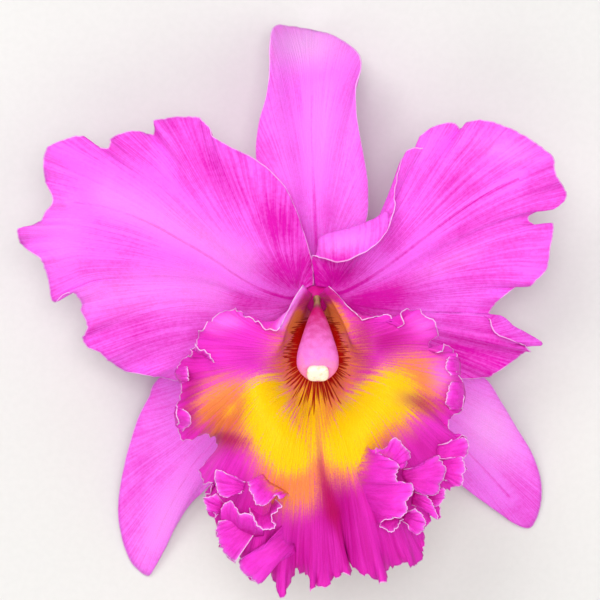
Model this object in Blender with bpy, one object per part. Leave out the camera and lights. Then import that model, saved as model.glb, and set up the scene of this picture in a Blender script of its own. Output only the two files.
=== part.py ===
"""A picked cattleya bloom, lying face up on the tips of its three sepals.

Metres, +Z up, the surface it lies on at z = 0, origin under the middle of the bloom.
Every blade of the bloom (sepal, petal, lip) is one sheet: rows of points run from its claw
to its margin, and the sheet is thickened both ways into a closed solid.

The outlines are sighted: each point is (column, row, height), where column and row are read
off the 600 by 600 photograph and height is in millimetres above the base of the column.
sighted() turns such a point into metres, along the line of sight of a camera straight above.
"""

import math

import bmesh
import bpy
import numpy as np

# Driving dimensions, in metres unless the name says otherwise
NATURAL_SPREAD = 0.1644  # left petal tip to right petal tip
SPREAD_PIXELS = 548  # the same, counted in the photograph
PIXEL = NATURAL_SPREAD / SPREAD_PIXELS  # at the height of the column's base
EYE_HEIGHT = 0.600  # camera above the column's base
EYE_PIXEL = (300, 300)  # the photograph's middle
BASE_PIXEL = (317, 300)  # where the column stands
BASE = (0.0076, 0.0008, 0.0345)  # the same place in the part's frame
MM = 0.001

PETAL_THICKNESS = 0.00065
SEPAL_THICKNESS = 0.00080
LIP_THICKNESS = 0.00065
GAP = 0.0003  # between pieces that touch

RECEPTACLE_RADIUS = 0.0044  # where the claws of the blades meet on top of the ovary
RECEPTACLE_TOP_RADIUS = 0.0041
RECEPTACLE_EDGE = 0.0004  # depth of its bevelled top edge
RECEPTACLE_DEPTH = 0.0050
RECEPTACLE_TAPER = 0.95  # its lower radius, as a share of the upper one
OVARY_RADIUS = 0.0031
OVARY_END = 0.625  # share of the stem's route at which the ovary has narrowed to its stalk
PEDICEL_RADIUS = 0.0021
OVARY_RIBS = 6
RIB_DEPTH = 0.09  # share of the radius
RIBS_FADE = (0.3, 0.8)  # shares of the stem's route between which the ribs run out
STIGMA_HALF_WIDTH = 0.0026
STIGMA_SINK = 0.0004  # the hollow's centre lies this far outside the column's underside
STIGMA_SIDES = 16
STIGMA_RINGS = 8
CAP_HALF_WIDTH = 0.0031
CAP_HALF_DEPTH = 0.0026
CAP_HEIGHT = 0.0027
CAP_WALL = 0.0006
CAP_SIDES = 16
CAP_RINGS = 5
CAP_CROWN = 0.08  # radians between the cap's crown and its first ring
POLLEN_HEIGHT = 0.00075  # middle of the lobes above the cap's foot
LOBE_PLACES = (-1.5, -0.5, 0.5, 1.5)  # in steps of the pitch
LOBE_PITCH = 0.0008
LOBE_HALF_LENGTH = 0.0011
LOBE_RADIUS = 0.0006
LOBE_END = 0.15  # radians between a lobe's pole and its first ring
LOBE_RINGS = 6
LOBE_SIDES = 10

# Roughness of the finishes
BLADE_ROUGHNESS = 0.45
LIP_ROUGHNESS = 0.40
COLUMN_ROUGHNESS = 0.40
STEM_ROUGHNESS = 0.50

# Colours as (red, green, blue, alpha), linear
MAGENTA = (0.78, 0.07, 0.62, 1.0)
ROSE = (0.86, 0.13, 0.72, 1.0)
COLUMN_PINK = (0.86, 0.16, 0.50, 1.0)
IVORY = (0.93, 0.88, 0.70, 1.0)
POLLEN_YELLOW = (0.80, 0.58, 0.12, 1.0)
STEM_GREEN = (0.24, 0.36, 0.12, 1.0)

# The petals. A fold gives the line over which the edge at that station is turned forward.
PETAL_LEFT = {
    "margin": [
        (307, 279, -0.7), (309, 265, 0.3), (307, 248, 1.2), (301, 224, 3), (291, 199, 5),
        (278, 178, 7), (257, 160, 8), (231, 147, 9), (212, 135, 10), (198, 117, 8),
        (179, 116, 5), (159, 123, 8), (148, 134, 5), (135, 130, 7), (118, 134, 5),
        (108, 147, 8), (92, 143, 5), (78, 136, 8), (52, 145, 5), (44, 163, 10),
        (45, 182, 6), (52, 200, 8), (41, 217, 4), (21, 227, 8), (17, 233, 7),
        (22, 245, 3), (40, 260, 6), (48, 283, 1), (54, 301, -2), (68, 296, 0),
        (81, 304, -3), (87, 327, -1), (83, 340, -5), (99, 352, -3), (126, 371, -8),
        (147, 376, -5), (168, 379, -9), (190, 382, -8), (225, 378, -7), (262, 360, -5),
        (285, 332, -3),
    ],
    "midrib": [
        (301.5, 297, -1), (283, 297, 0.5), (248, 283, 2.5), (211, 258, 4), (179, 239, 5),
        (147, 222, 6), (105, 207, 6.5), (75, 202, 7),
    ],
    "folds": {},
    "claw_width": (-0.8, -4.3, 0.0),
}
PETAL_RIGHT = {
    "margin": [
        (321, 279, 1), (316, 268, 3.5), (312, 255, 6), (321, 258, 8), (338, 262, 10),
        (356, 257, 11), (373, 246, 11.5), (386, 231, 11), (394, 213, 10), (396, 198, 8.5),
        (396, 180, 8.5), (402, 160, 7.5), (410, 149, 8), (421, 146, 6), (424, 136, 4),
        (433, 128, 6), (447, 123, 7.5), (456, 124, 6),
        (461, 130, 4), (468, 123, 6), (484, 120, 9), (510, 129, 6), (530, 138, 9),
        (548, 152, 6), (555, 170, 9), (565, 190, 5), (563, 203, 7), (548, 209, 4.5),
        (536, 217, 4.5), (545, 226, 4), (553, 226, 4), (551, 249, 6),
        (546, 268, 2), (534, 282, 4), (518, 287, 0), (500, 299, 2), (492, 311, -2),
        (499, 317, -1), (512, 326, -1.5), (525, 333, -2), (538, 344, -3), (534, 351, -4),
        (523, 352, -6), (510, 364, -8), (495, 374, -6), (475, 379, -9), (450, 379, -8),
        (420, 372, -7), (385, 352, -5), (355, 328, -3),
    ],
    "midrib": [
        (332, 295, -1), (346, 291, 1), (367, 280, 3), (392, 263, 4), (419, 242, 5),
        (445, 222, 6), (472, 203, 7), (499, 188, 8), (518, 179, 8),
    ],
    "folds": {
        3: (321, 241, 5), 4: (338, 235, 6), 5: (356, 229, 7), 6: (372, 222, 8),
        7: (385, 214, 9),
    },
    "spread": 1.45,
    "rows": 13,
    "turn_rows": 3,
    "claw_width": (1.5, -4.2, 0.0),
}

# The sepals, behind the petals; the bloom rests on their tips
DORSAL_SEPAL = {
    "margin": [
        (301, 264, -3.3), (284, 230, -4), (267, 195, -4.5), (256, 160, -4), (258, 125, -3),
        (266, 96, -3), (269, 72, -4), (269, 50, -6), (271, 32, -10), (277, 25, -17),
        (289, 26, -26), (312, 30, -34), (330, 34, -27), (347, 43, -18), (359, 54, -10),
        (361, 67, -6), (357, 82, -4), (356, 105, -3), (359, 130, -3), (364, 157, -4),
        (368, 185, -4.5), (366, 222, -4), (346, 256, -3.3),
    ],
    "midrib": [
        (317, 284, -3), (316, 240, -3.6), (314, 190, -4), (312, 140, -3.4), (312, 90, -3),
        (311, 56, -4), (311, 31, -8), (311, 25, -15), (311, 26, -24),
    ],
    "folds": {},
    "rows": 12,
    "claw_width": (5.0, 0.0, 0.0),
}
SEPAL_LEFT = {
    "margin": [
        (280, 319, -5.5), (238, 335, -10), (192, 354, -14.5), (157, 380, -18),
        (148, 398, -20), (137, 420, -22), (127, 453, -25), (120, 486, -28), (118, 514, -30),
        (122, 539, -32), (131, 562, -33.3), (147, 576, -34), (155, 567, -33), (163, 551, -32),
        (172, 532, -31), (186, 509, -29), (204, 491, -27), (235, 462, -22.5), (262, 425, -17.5),
        (283, 385, -12.5), (300, 345, -7.5),
    ],
    "midrib": [
        (308, 313, -3), (282, 347, -8), (248, 395, -15), (216, 438, -21), (190, 470, -25),
        (170, 506, -29.5), (155, 540, -32),
    ],
    "folds": {},
    "claw_width": (4.0, -3.0, 0.0),
}
SEPAL_RIGHT = {
    "margin": [
        (356, 317, -6), (402, 334, -11.5), (445, 352, -16.5), (485, 378, -21),
        (501, 401, -24), (517, 428, -27), (532, 453, -29.5), (541, 480, -31.3),
        (541, 503, -32.7), (536, 520, -33.5), (529, 528, -34), (515, 524, -33),
        (495, 510, -31.5), (470, 492, -29), (440, 468, -25), (405, 433, -19.5),
        (372, 393, -13.5), (342, 350, -8),
    ],
    "midrib": [
        (327, 312, -3), (350, 336, -7), (398, 384, -15), (450, 434, -22.5), (487, 473, -28),
        (510, 498, -31.5),
    ],
    "folds": {},
    "claw_width": (-3.8, -3.2, 0.0),
}

# How a petal or sepal is drawn between its midrib and its margin, unless its table says otherwise
BLADE_SHAPE = {
    "rows": 10,  # from the claw to the margin
    "turn_rows": 1,  # those of them beyond the fold of a turned edge
    "calm": 4.0,  # stations, blur of the margin that shares the veins out along the midrib
    "blur": 2.6,  # stations, blur of the margin's waves next to the midrib
    "calming": 1.3,  # the higher, the further in the waves reach
    "spread": 1.7,  # the higher, the longer the veins keep to the midrib
    "valley": 0.0014,  # depth of the furrow along the midrib
    "valley_width": 0.005,
    "valley_start": 0.25,  # share of the midrib over which the furrow deepens
}
RIB_POINTS = 161
VEIN_BLUR = 1.0  # stations, evens out where the veins leave the midrib
FOLD_AT = 0.88  # how far along a vein a turned edge folds over
TURN_LEAD = 0.12  # how far past its fold a turned edge aims, as a share of the vein
TURN_BULGE = 1.6  # roundness of the turn
GROWTH_REACH = 0.0010  # a wall's direction is the mean over this reach
RELAX_PASSES = 4  # evens out the points inside a blade

# The lip, from its left free tip round the left lobe, the ruffled front lobe and the right lobe
LIP_THROAT = (317, 350, 15)
LIP_LEFT_LOBE = [
    (301, 286, 15), (293, 300, 18), (286, 314, 21), (278, 330, 24), (263, 325, 24),
    (244, 314, 23), (226, 312, 21), (212, 319, 25), (198, 332, 21),
    (193, 348, 27), (188, 358, 22), (177, 368, 21), (180, 381, 25), (180, 396, 28),
    (175, 412, 24), (175, 422, 29), (181, 434, 24), (189, 440, 25), (203, 436, 19),
    (216, 437, 16), (220, 447, 15), (212, 459, 18), (202, 470, 21), (203, 482, 24),
]
LIP_LEFT_FOLDS = [
    (211, 475, 27), (213, 488, 28), (205, 500, 25), (208, 514, 23), (218, 528, 26),
]
LIP_FRONT_LOBE = [
    (217, 540, 22), (224, 553, 25), (235, 562, 27), (246, 552, 23), (247, 566, 24),
    (252, 577, 25), (259, 584, 26), (268, 571, 21), (275, 585, 23), (282, 597, 25),
    (289, 585, 22), (297, 569, 20), (304, 576, 22), (311, 591, 25), (316, 581, 20),
    (328, 587, 24), (333, 576, 20), (341, 575, 22), (347, 573, 22), (347, 561, 21),
    (357, 570, 23), (366, 577, 27), (375, 579, 23),
    (384, 583, 27), (388, 572, 22), (393, 564, 19), (402, 564, 23), (410, 568, 26),
    (418, 563, 21), (421, 553, 19), (425, 545, 23), (424, 534, 20), (430, 523, 24),
]
LIP_RIGHT_FOLDS = [
    (430, 513, 20), (438, 519, 24), (441, 503, 27), (446, 490, 23), (457, 485, 26),
    (464, 468, 22), (463, 457, 26), (468, 445, 21), (462, 437, 25),
]
LIP_RIGHT_LOBE = [
    (452, 432, 22), (450, 421, 24), (460, 412, 21), (464, 398, 25), (463, 383, 20),
    (457, 372, 25), (456, 356, 20), (447, 348, 23), (436, 347, 24),
    (438, 330, 21), (428, 318, 25), (414, 309, 21), (402, 318, 24), (388, 317, 24),
    (375, 318, 23), (362, 318, 23), (352, 310, 21),
    (343, 300, 18), (329, 286, 15),
]
LIP_MARGIN = LIP_LEFT_LOBE + LIP_LEFT_FOLDS + LIP_FRONT_LOBE + LIP_RIGHT_FOLDS + LIP_RIGHT_LOBE

# Rings of the lip inside its margin, each from the left free edge round below to the right one
LIP_CLAW = [
    (309, 295, 0.35), (306, 303, 0.35), (309, 311, 0.35), (317, 313, 0.35), (325, 311, 0.35),
    (328, 303, 0.35), (325, 295, 0.35),
]
LIP_TUBE = [
    (307, 293, 7), (303, 312, 8), (300, 330, 9), (305, 347, 10), (317, 353, 10),
    (329, 347, 10), (334, 330, 9), (331, 312, 8), (327, 293, 7),
]
LIP_MOUTH = [
    (303, 289, 12), (291, 318, 15), (285, 345, 17), (288, 372, 18), (300, 390, 18),
    (317, 396, 18), (334, 390, 18), (346, 372, 18), (349, 345, 17), (343, 318, 15),
    (328, 289, 12),
]
LIP_FLARE = [
    (301.5, 287, 14), (289, 315, 18), (273, 343, 23), (254, 367, 29), (255, 395, 32),
    (277, 438, 36), (320, 458, 32), (363, 437, 36), (388, 397, 32), (385, 365, 29),
    (359, 339, 23), (343, 316, 18), (329, 287, 14),
]
LIP_RING_PLACES = (0.0, 0.17, 0.34, 0.60, 1.0)  # claw, tube, mouth, flare, margin
LIP_ROWS = 13
LIP_CALM_BLUR = 5.0  # stations, blur of the margin that gives the veins their directions
LIP_SWEEP_BLUR = 3.0  # stations, evens out the directions themselves
LIP_SWEEP_SHARE = 0.72  # how far the veins follow the directions; the rest is even spacing
LIP_MARGIN_BLUR = 4.0  # stations, blur of the margin's waves at the claw

# The column, from its base to its end: (across, up, height) of its middle and half width and
# half depth there, in millimetres from the base of the column
COLUMN = [
    (0, -0.3, 0.35, 1.7, 1.6), (0, -1.0, 4.0, 1.8, 1.7), (0, -2.6, 9.0, 2.3, 2.0),
    (0, -6.5, 14.5, 3.5, 2.5), (0, -11.0, 18.8, 4.9, 3.1), (0, -15.5, 21.8, 6.0, 3.6),
    (0, -18.8, 23.8, 5.8, 3.6), (0, -20.6, 25.0, 4.9, 3.2), (0, -21.3, 25.6, 4.0, 2.9),
]
COLUMN_SIDES = 20
COLUMN_AIM = (0.0, -0.6, 0.8)  # the way its end faces

# The ovary and its stalk, from the receptacle down: (across, up, height) of the middle, in
# millimetres from the base of the column
STEM_ROUTE = [
    (0, 0, -8), (0, -1.5, -13), (0, -5.5, -19.5), (0, -14, -25.5), (0, -25, -29),
    (0, -37, -30.8), (0, -50, -31.3),
]
STEM_SIDES = 24
STEM_RINGS = 15


def sighted(points):
    """Sighted points as metres in the part's frame."""
    table = np.array(points, float)
    height = table[:, 2] * MM
    scale = PIXEL * (1 - height / EYE_HEIGHT)
    across = (table[:, 0] - EYE_PIXEL[0]) * scale + (EYE_PIXEL[0] - BASE_PIXEL[0]) * PIXEL
    up = (EYE_PIXEL[1] - table[:, 1]) * scale + (BASE_PIXEL[1] - EYE_PIXEL[1]) * PIXEL
    return np.stack([across, up, height], axis=1) + np.array(BASE)


def spline(knots, places):
    """A Catmull-Rom curve through the knots, read at places counted in knots."""
    knots = np.asarray(knots, float)
    padded = np.concatenate([2 * knots[:1] - knots[1:2], knots, 2 * knots[-1:] - knots[-2:-1]])
    places = np.clip(np.asarray(places, float), 0, len(knots) - 1)
    index = np.minimum(places.astype(int), len(knots) - 2)
    t = (places - index)[:, None]
    a, b, c, d = (padded[index + k] for k in range(4))
    return catmull(a, b, c, d, t)


def catmull(a, b, c, d, t):
    """The curve between b and c, where t goes from 0 to 1."""
    return 0.5 * (
        2 * b + (c - a) * t + (2 * a - 5 * b + 4 * c - d) * t**2 + (3 * b - a - 3 * c + d) * t**3
    )


def along(knots, count):
    """A number of points along the curve through the knots."""
    return spline(knots, np.linspace(0, len(knots) - 1, count))


def blurred(curve, width):
    """The curve without its bends finer than width points, its ends kept."""
    if width < 0.05:
        return curve
    reach = min(int(3 * width) + 1, len(curve) - 1)
    head = 2 * curve[0] - curve[reach:0:-1]
    tail = 2 * curve[-1] - curve[-2 : -reach - 2 : -1]
    padded = np.concatenate([head, curve, tail])
    kernel = np.exp(-0.5 * (np.arange(-reach, reach + 1) / width) ** 2)
    kernel /= kernel.sum()
    return np.stack([np.convolve(column, kernel, "valid") for column in padded.T], axis=1)


def blurred_values(values, width):
    """The same for a row of numbers."""
    return blurred(values[:, None], width)[:, 0]


def smooth_step(value):
    """0 below 0, 1 above 1, and an even S between."""
    value = min(max(value, 0.0), 1.0)
    return value * value * (3 - 2 * value)


def lengths(vectors):
    """The length of each vector, as a column."""
    return np.linalg.norm(vectors, axis=1)[:, None]


def blade_rows(blade):
    """Rows of points for a petal or sepal.

    A vein leaves the claw along the midrib and turns away from it to its own place on the
    margin. Waves of the margin fade towards the midrib, because each row follows a margin
    that is blurred more the further in it lies. A station with a fold goes to the fold first
    and comes back from it to the margin, so the edge there is turned over.
    """
    shape = {**BLADE_SHAPE, **blade}
    margin = sighted(shape["margin"])
    rib = along(sighted(shape["midrib"]), RIB_POINTS)
    calm = blurred(margin, shape["calm"])
    distance = np.linalg.norm(calm[:, None, :] - rib[None, :, :], axis=2)
    share = blurred_values(distance.argmin(axis=1) / (RIB_POINTS - 1), VEIN_BLUR)
    side = np.linspace(-0.5, 0.5, len(margin))[:, None] * np.array(shape["claw_width"]) * MM
    keeled = np.clip(share / shape["valley_start"], 0, 1)

    def rib_at(amount):
        return spline(rib, share * amount * (RIB_POINTS - 1))

    def vein(amount, edge):
        """The row of points that share of the way along every vein."""
        reach = blurred(edge, shape["blur"] * (1 - amount) ** shape["calming"])
        spread = amount ** shape["spread"]
        away = (reach - rib_at(1.0)) * spread
        place = rib_at(amount) + away + side * (1 - spread)
        valley = np.exp(-((lengths(away)[:, 0] / shape["valley_width"]) ** 2)) * keeled
        place[:, 2] -= shape["valley"] * valley * math.sin(math.pi * amount)
        return place

    fold = vein(FOLD_AT, margin)
    target = margin.copy()
    turned = np.zeros((len(margin), 1))
    for station, point in shape["folds"].items():
        fold[station] = sighted([point])[0]
        target[station] = fold[station] + (fold[station] - rib_at(1.0)[station]) * TURN_LEAD
        turned[station] = 1.0
    turn_rows = shape["turn_rows"]
    inner = shape["rows"] - turn_rows
    rows = [vein(FOLD_AT * k / (inner - 1), target) for k in range(inner)]
    shift = (fold - rows[-1]) * turned
    rows = [row + shift * smooth_step(k / (inner - 1)) ** 2 for k, row in enumerate(rows)]
    onward = (rows[-1] - rows[-2]) / lengths(rows[-1] - rows[-2])
    chord = margin - rows[-1]
    for k in range(1, turn_rows + 1):
        u = k / turn_rows
        bulge = onward * lengths(chord) * (u - 2 * u**2 + u**3) * TURN_BULGE
        eased = u * (1 - turned) + smooth_step(u) * turned
        rows.append(rows[inner - 1] + chord * eased + bulge * turned)
    return np.stack(rows)


def lip_rows():
    """Rows of points for the lip: claw, tube round the column, mouth of the throat, margin."""
    margin = sighted(LIP_MARGIN)
    calm = blurred(margin, LIP_CALM_BLUR)
    throat = sighted([LIP_THROAT])[0]
    angle = np.unwrap(np.arctan2(calm[:, 1] - throat[1], calm[:, 0] - throat[0]))
    sweep = np.maximum.accumulate((angle - angle[0]) / (angle[-1] - angle[0]))
    even = np.linspace(0, 1, len(sweep))
    sweep = even + (blurred_values(sweep, LIP_SWEEP_BLUR) - even) * LIP_SWEEP_SHARE
    tables = (LIP_CLAW, LIP_TUBE, LIP_MOUTH, LIP_FLARE)
    rings = [spline(sighted(table), sweep * (len(table) - 1)) for table in tables]
    rows = []
    for k in range(LIP_ROWS):
        t = k / (LIP_ROWS - 1)
        path = rings + [blurred(margin, LIP_MARGIN_BLUR * (1 - t))]
        place = np.interp(t, LIP_RING_PLACES, range(len(path)))
        lower = min(int(place), len(path) - 2)
        a, d = path[max(lower - 1, 0)], path[min(lower + 2, len(path) - 1)]
        rows.append(catmull(a, path[lower], path[lower + 1], d, place - lower))
    return np.stack(rows)


def material(name, colour, roughness):
    """A plain finish of one colour."""
    made = bpy.data.materials.new(name)
    made.use_nodes = True
    shader = made.node_tree.nodes["Principled BSDF"]
    shader.inputs["Base Color"].default_value = colour
    shader.inputs["Roughness"].default_value = roughness
    shader.inputs["Metallic"].default_value = 0.0
    made.diffuse_color = colour
    return made


def link(name, mesh, finish):
    """An object of the mesh with its finish."""
    made = bpy.data.objects.new(name, mesh)
    made.data.materials.append(finish)
    bpy.context.scene.collection.objects.link(made)
    return made


def growth_directions(shape):
    """For each vertex of the sheet, the facing of the faces within reach, as a unit vector.

    Both faces of the wall lie along the same smooth directions, so they can't cross each other
    where the sheet is waved.
    """
    places = np.array([vertex.co for vertex in shape.verts])
    facing = np.array([
        sum((np.array(face.normal) * face.calc_area() for face in vertex.link_faces), np.zeros(3))
        for vertex in shape.verts
    ])
    square = (places**2).sum(axis=1)
    apart = square[:, None] + square[None, :] - 2 * places @ places.T
    directions = np.exp(-apart / (2 * GROWTH_REACH**2)) @ facing
    return directions / lengths(directions)


def sheet(name, rows, thickness, finish):
    """One blade, whose first row of points is at the claw and whose last is the margin."""
    row_count, column_count = rows.shape[:2]
    shape = bmesh.new()
    bmesh.ops.create_grid(shape, x_segments=column_count - 1, y_segments=row_count - 1, size=1.0)
    for vertex, place in zip(shape.verts, rows.reshape(-1, 3)):
        vertex.co = place
    inner = [vertex for vertex in shape.verts if not vertex.is_boundary]
    for _ in range(RELAX_PASSES):
        bmesh.ops.smooth_vert(
            shape, verts=inner, factor=0.5, use_axis_x=True, use_axis_y=True, use_axis_z=True
        )
    bmesh.ops.triangulate(shape, faces=shape.faces[:], quad_method="SHORT_EDGE")
    shape.normal_update()
    growth = shape.verts.layers.float_vector.new("growth")
    for vertex, direction in zip(shape.verts, growth_directions(shape)):
        vertex[growth] = direction * thickness
        vertex.co -= vertex[growth] / 2
    raised = bmesh.ops.extrude_face_region(shape, geom=shape.faces[:])
    for vertex in raised["geom"]:
        if isinstance(vertex, bmesh.types.BMVert):
            vertex.co += vertex[growth]
    bmesh.ops.triangulate(shape, faces=[face for face in shape.faces if len(face.verts) > 3])
    bmesh.ops.recalc_face_normals(shape, faces=shape.faces[:])
    mesh = bpy.data.meshes.new(name)
    shape.to_mesh(mesh)
    shape.free()
    mesh.shade_smooth()
    return link(name, mesh, finish)


def loft(name, rings, finish):
    """A closed solid through rings of points, all with the same count, capped at both ends."""
    shape = bmesh.new()
    loops = [[shape.verts.new(place) for place in points] for points in rings]
    for lower, upper in zip(loops, loops[1:]):
        for k in range(len(lower)):
            after = (k + 1) % len(lower)
            shape.faces.new((lower[k], lower[after], upper[after], upper[k]))
    shape.faces.new(loops[0][::-1])
    shape.faces.new(loops[-1])
    bmesh.ops.recalc_face_normals(shape, faces=shape.faces[:])
    bmesh.ops.triangulate(shape, faces=shape.faces[:])
    mesh = bpy.data.meshes.new(name)
    shape.to_mesh(mesh)
    shape.free()
    mesh.shade_smooth()
    return link(name, mesh, finish)


def ring(centre, across, up, sides):
    """Points round an ellipse whose half axes are the vectors across and up."""
    turn = np.linspace(0, 2 * math.pi, sides, endpoint=False)[:, None]
    return centre + np.cos(turn) * across + np.sin(turn) * up


def square_axes(travel):
    """Unit axes across and up, square to each direction of travel in the plane of symmetry."""
    travel = travel / lengths(travel)
    across = np.tile([1.0, 0.0, 0.0], (len(travel), 1))
    return across, np.cross(travel, across)


def subtract(target, cutter):
    """Cut the cutter away from the target and hide it."""
    cut = target.modifiers.new("cut_" + cutter.name, "BOOLEAN")
    cut.operation = "DIFFERENCE"
    cut.solver = "EXACT"
    cut.object = cutter
    cutter.hide_render = True
    cutter.display_type = "WIRE"


def make_column(finish):
    """The column: slender at its base, widest near its end, with the stigma's dent below."""
    table = np.array(COLUMN, float) * MM
    centres = table[:, :3] + np.array(BASE)
    travel = np.gradient(centres, axis=0)
    travel[0] = (0.0, 0.0, 1.0)
    travel[-1] = COLUMN_AIM
    across, up = square_axes(travel)
    rings = [
        ring(centres[k], across[k] * table[k, 3], up[k] * table[k, 4], COLUMN_SIDES)
        for k in range(len(table))
    ]
    column = loft("column", rings, finish)
    bpy.ops.mesh.primitive_uv_sphere_add(
        segments=STIGMA_SIDES, ring_count=STIGMA_RINGS, radius=STIGMA_HALF_WIDTH
    )
    cutter = bpy.context.object
    cutter.name = "stigma_cutter"
    cutter.location = centres[-3] - up[-3] * (table[-3, 4] + STIGMA_SINK)
    subtract(column, cutter)
    return centres[-1]


def cap_ring(centre, grow, height, share):
    """One ring of the cap: grow is taken off its half axes, height is along the aim."""
    aim = np.array(COLUMN_AIM)
    across, up = square_axes(aim[None, :])
    half_across = across[0] * (CAP_HALF_WIDTH - grow) * share
    half_up = up[0] * (CAP_HALF_DEPTH - grow) * share
    return ring(centre + aim * height, half_across, half_up, CAP_SIDES)


def make_anther_cap(seat, finish):
    """The cap over the pollen: a dome with a pocket, open towards the column."""
    foot = seat + np.array(COLUMN_AIM) * GAP
    steps = np.linspace(CAP_CROWN, 0.5 * math.pi, CAP_RINGS)
    rings = []
    for angle in steps:
        height = (CAP_HEIGHT - CAP_WALL) * math.cos(angle)
        rings.append(cap_ring(foot, CAP_WALL, height, math.sin(angle)))
    for angle in steps[::-1]:
        rings.append(cap_ring(foot, 0.0, CAP_HEIGHT * math.cos(angle), math.sin(angle)))
    loft("anther_cap", rings, finish)


def make_pollinia(seat, finish):
    """Four flat lobes of pollen, side by side in the cap's pocket."""
    aim = np.array(COLUMN_AIM)
    across, up = square_axes(aim[None, :])
    middle = seat + aim * (GAP + POLLEN_HEIGHT)
    lobes = []
    for place in LOBE_PLACES:
        centre = middle + across[0] * place * LOBE_PITCH
        rings = []
        for angle in np.linspace(LOBE_END, math.pi - LOBE_END, LOBE_RINGS):
            radius = LOBE_RADIUS * math.sin(angle)
            height = LOBE_HALF_LENGTH * math.cos(angle)
            rings.append(ring(centre - up[0] * height, across[0] * radius, aim * radius, LOBE_SIDES))
        lobes.append(loft("pollinia_lobe", rings, finish))
    body = lobes[0]
    body.name = "pollinia"
    for lobe in lobes[1:]:
        join = body.modifiers.new("join", "BOOLEAN")
        join.operation = "UNION"
        join.solver = "EXACT"
        join.object = lobe
    bpy.context.view_layer.objects.active = body
    for modifier in list(body.modifiers):
        bpy.ops.object.modifier_apply(modifier=modifier.name)
    for lobe in lobes[1:]:
        bpy.data.objects.remove(lobe)


def make_ovary_stem(finish):
    """The receptacle, the ribbed ovary and its stalk, with a cut end."""
    top = np.array(BASE)
    turn = np.linspace(0, 2 * math.pi, STEM_SIDES, endpoint=False)
    side = np.array([1.0, 0.0, 0.0])
    forth = np.array([0.0, -1.0, 0.0])
    receptacle = (
        (0.0, RECEPTACLE_TOP_RADIUS),
        (RECEPTACLE_EDGE, RECEPTACLE_RADIUS),
        (RECEPTACLE_DEPTH, RECEPTACLE_RADIUS * RECEPTACLE_TAPER),
    )
    rings = []
    for depth, radius in receptacle:
        rings.append(ring(top - (0.0, 0.0, depth), side * radius, forth * radius, STEM_SIDES))
    centres = along(np.array(STEM_ROUTE) * MM + top, STEM_RINGS)
    travel = np.gradient(centres, axis=0)
    across, up = square_axes(travel)
    ribs = 1 + RIB_DEPTH * np.cos(OVARY_RIBS * turn)
    for k in range(STEM_RINGS):
        share = k / (STEM_RINGS - 1)
        narrowed = smooth_step(share / OVARY_END)
        faded = smooth_step((share - RIBS_FADE[0]) / (RIBS_FADE[1] - RIBS_FADE[0]))
        radius = OVARY_RADIUS + (PEDICEL_RADIUS - OVARY_RADIUS) * narrowed
        wave = 1 + (ribs - 1) * (1 - faded)
        around = ring(np.zeros(3), across[k] * radius, up[k] * radius, STEM_SIDES)
        rings.append(centres[k] + around * wave[:, None])
    loft("ovary_stem", rings, finish)


def main():
    """Build every piece of the bloom."""
    for old in list(bpy.data.objects):
        bpy.data.objects.remove(old)

    petal = material("petal_magenta", MAGENTA, BLADE_ROUGHNESS)
    sepal = material("sepal_rose", ROSE, BLADE_ROUGHNESS)
    lip = material("lip_magenta", MAGENTA, LIP_ROUGHNESS)
    sheet("petal_left", blade_rows(PETAL_LEFT), PETAL_THICKNESS, petal)
    sheet("petal_right", blade_rows(PETAL_RIGHT), PETAL_THICKNESS, petal)
    sheet("dorsal_sepal", blade_rows(DORSAL_SEPAL), SEPAL_THICKNESS, sepal)
    sheet("lateral_sepal_left", blade_rows(SEPAL_LEFT), SEPAL_THICKNESS, sepal)
    sheet("lateral_sepal_right", blade_rows(SEPAL_RIGHT), SEPAL_THICKNESS, sepal)
    sheet("lip", lip_rows(), LIP_THICKNESS, lip)

    seat = make_column(material("column_pink", COLUMN_PINK, COLUMN_ROUGHNESS))
    make_anther_cap(seat, material("cap_ivory", IVORY, COLUMN_ROUGHNESS))
    make_pollinia(seat, material("pollen_yellow", POLLEN_YELLOW, STEM_ROUGHNESS))
    make_ovary_stem(material("stem_green", STEM_GREEN, STEM_ROUGHNESS))


main()
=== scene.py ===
"""The looks of a picked cattleya bloom that lies face up on the tips of its sepals.

Metres, +Z up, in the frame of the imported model. Petals, sepals and the lip are thin sheets of
living tissue, so each starts as a grid whose columns are its veins: they leave the claw side by
side and fan out to the margin. Outlines are sighted: a point is (column, row, height), where
column and row are read off a 600 by 600 photograph taken from straight above and height is in
millimetres above the base of the column.
"""

import logging
import math
from dataclasses import dataclass, field
from enum import Enum
from typing import Any, Sequence

import bpy
import numpy as np
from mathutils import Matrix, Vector, noise


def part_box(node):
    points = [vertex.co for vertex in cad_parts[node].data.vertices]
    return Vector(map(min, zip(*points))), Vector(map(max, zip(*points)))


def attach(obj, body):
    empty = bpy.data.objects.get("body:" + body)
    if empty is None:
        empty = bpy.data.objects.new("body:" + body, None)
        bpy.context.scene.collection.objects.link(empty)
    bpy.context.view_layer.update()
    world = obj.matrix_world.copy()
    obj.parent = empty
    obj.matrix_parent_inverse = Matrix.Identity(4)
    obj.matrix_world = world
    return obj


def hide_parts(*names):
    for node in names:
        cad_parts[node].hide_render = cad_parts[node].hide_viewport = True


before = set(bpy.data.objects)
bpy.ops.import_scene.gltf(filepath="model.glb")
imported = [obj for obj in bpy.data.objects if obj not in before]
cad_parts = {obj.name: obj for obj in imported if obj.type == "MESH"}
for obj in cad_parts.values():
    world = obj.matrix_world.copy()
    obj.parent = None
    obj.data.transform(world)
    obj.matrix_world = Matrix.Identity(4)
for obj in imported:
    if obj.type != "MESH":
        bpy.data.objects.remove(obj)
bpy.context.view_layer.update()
LOG = logging.getLogger("cattleya")

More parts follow.
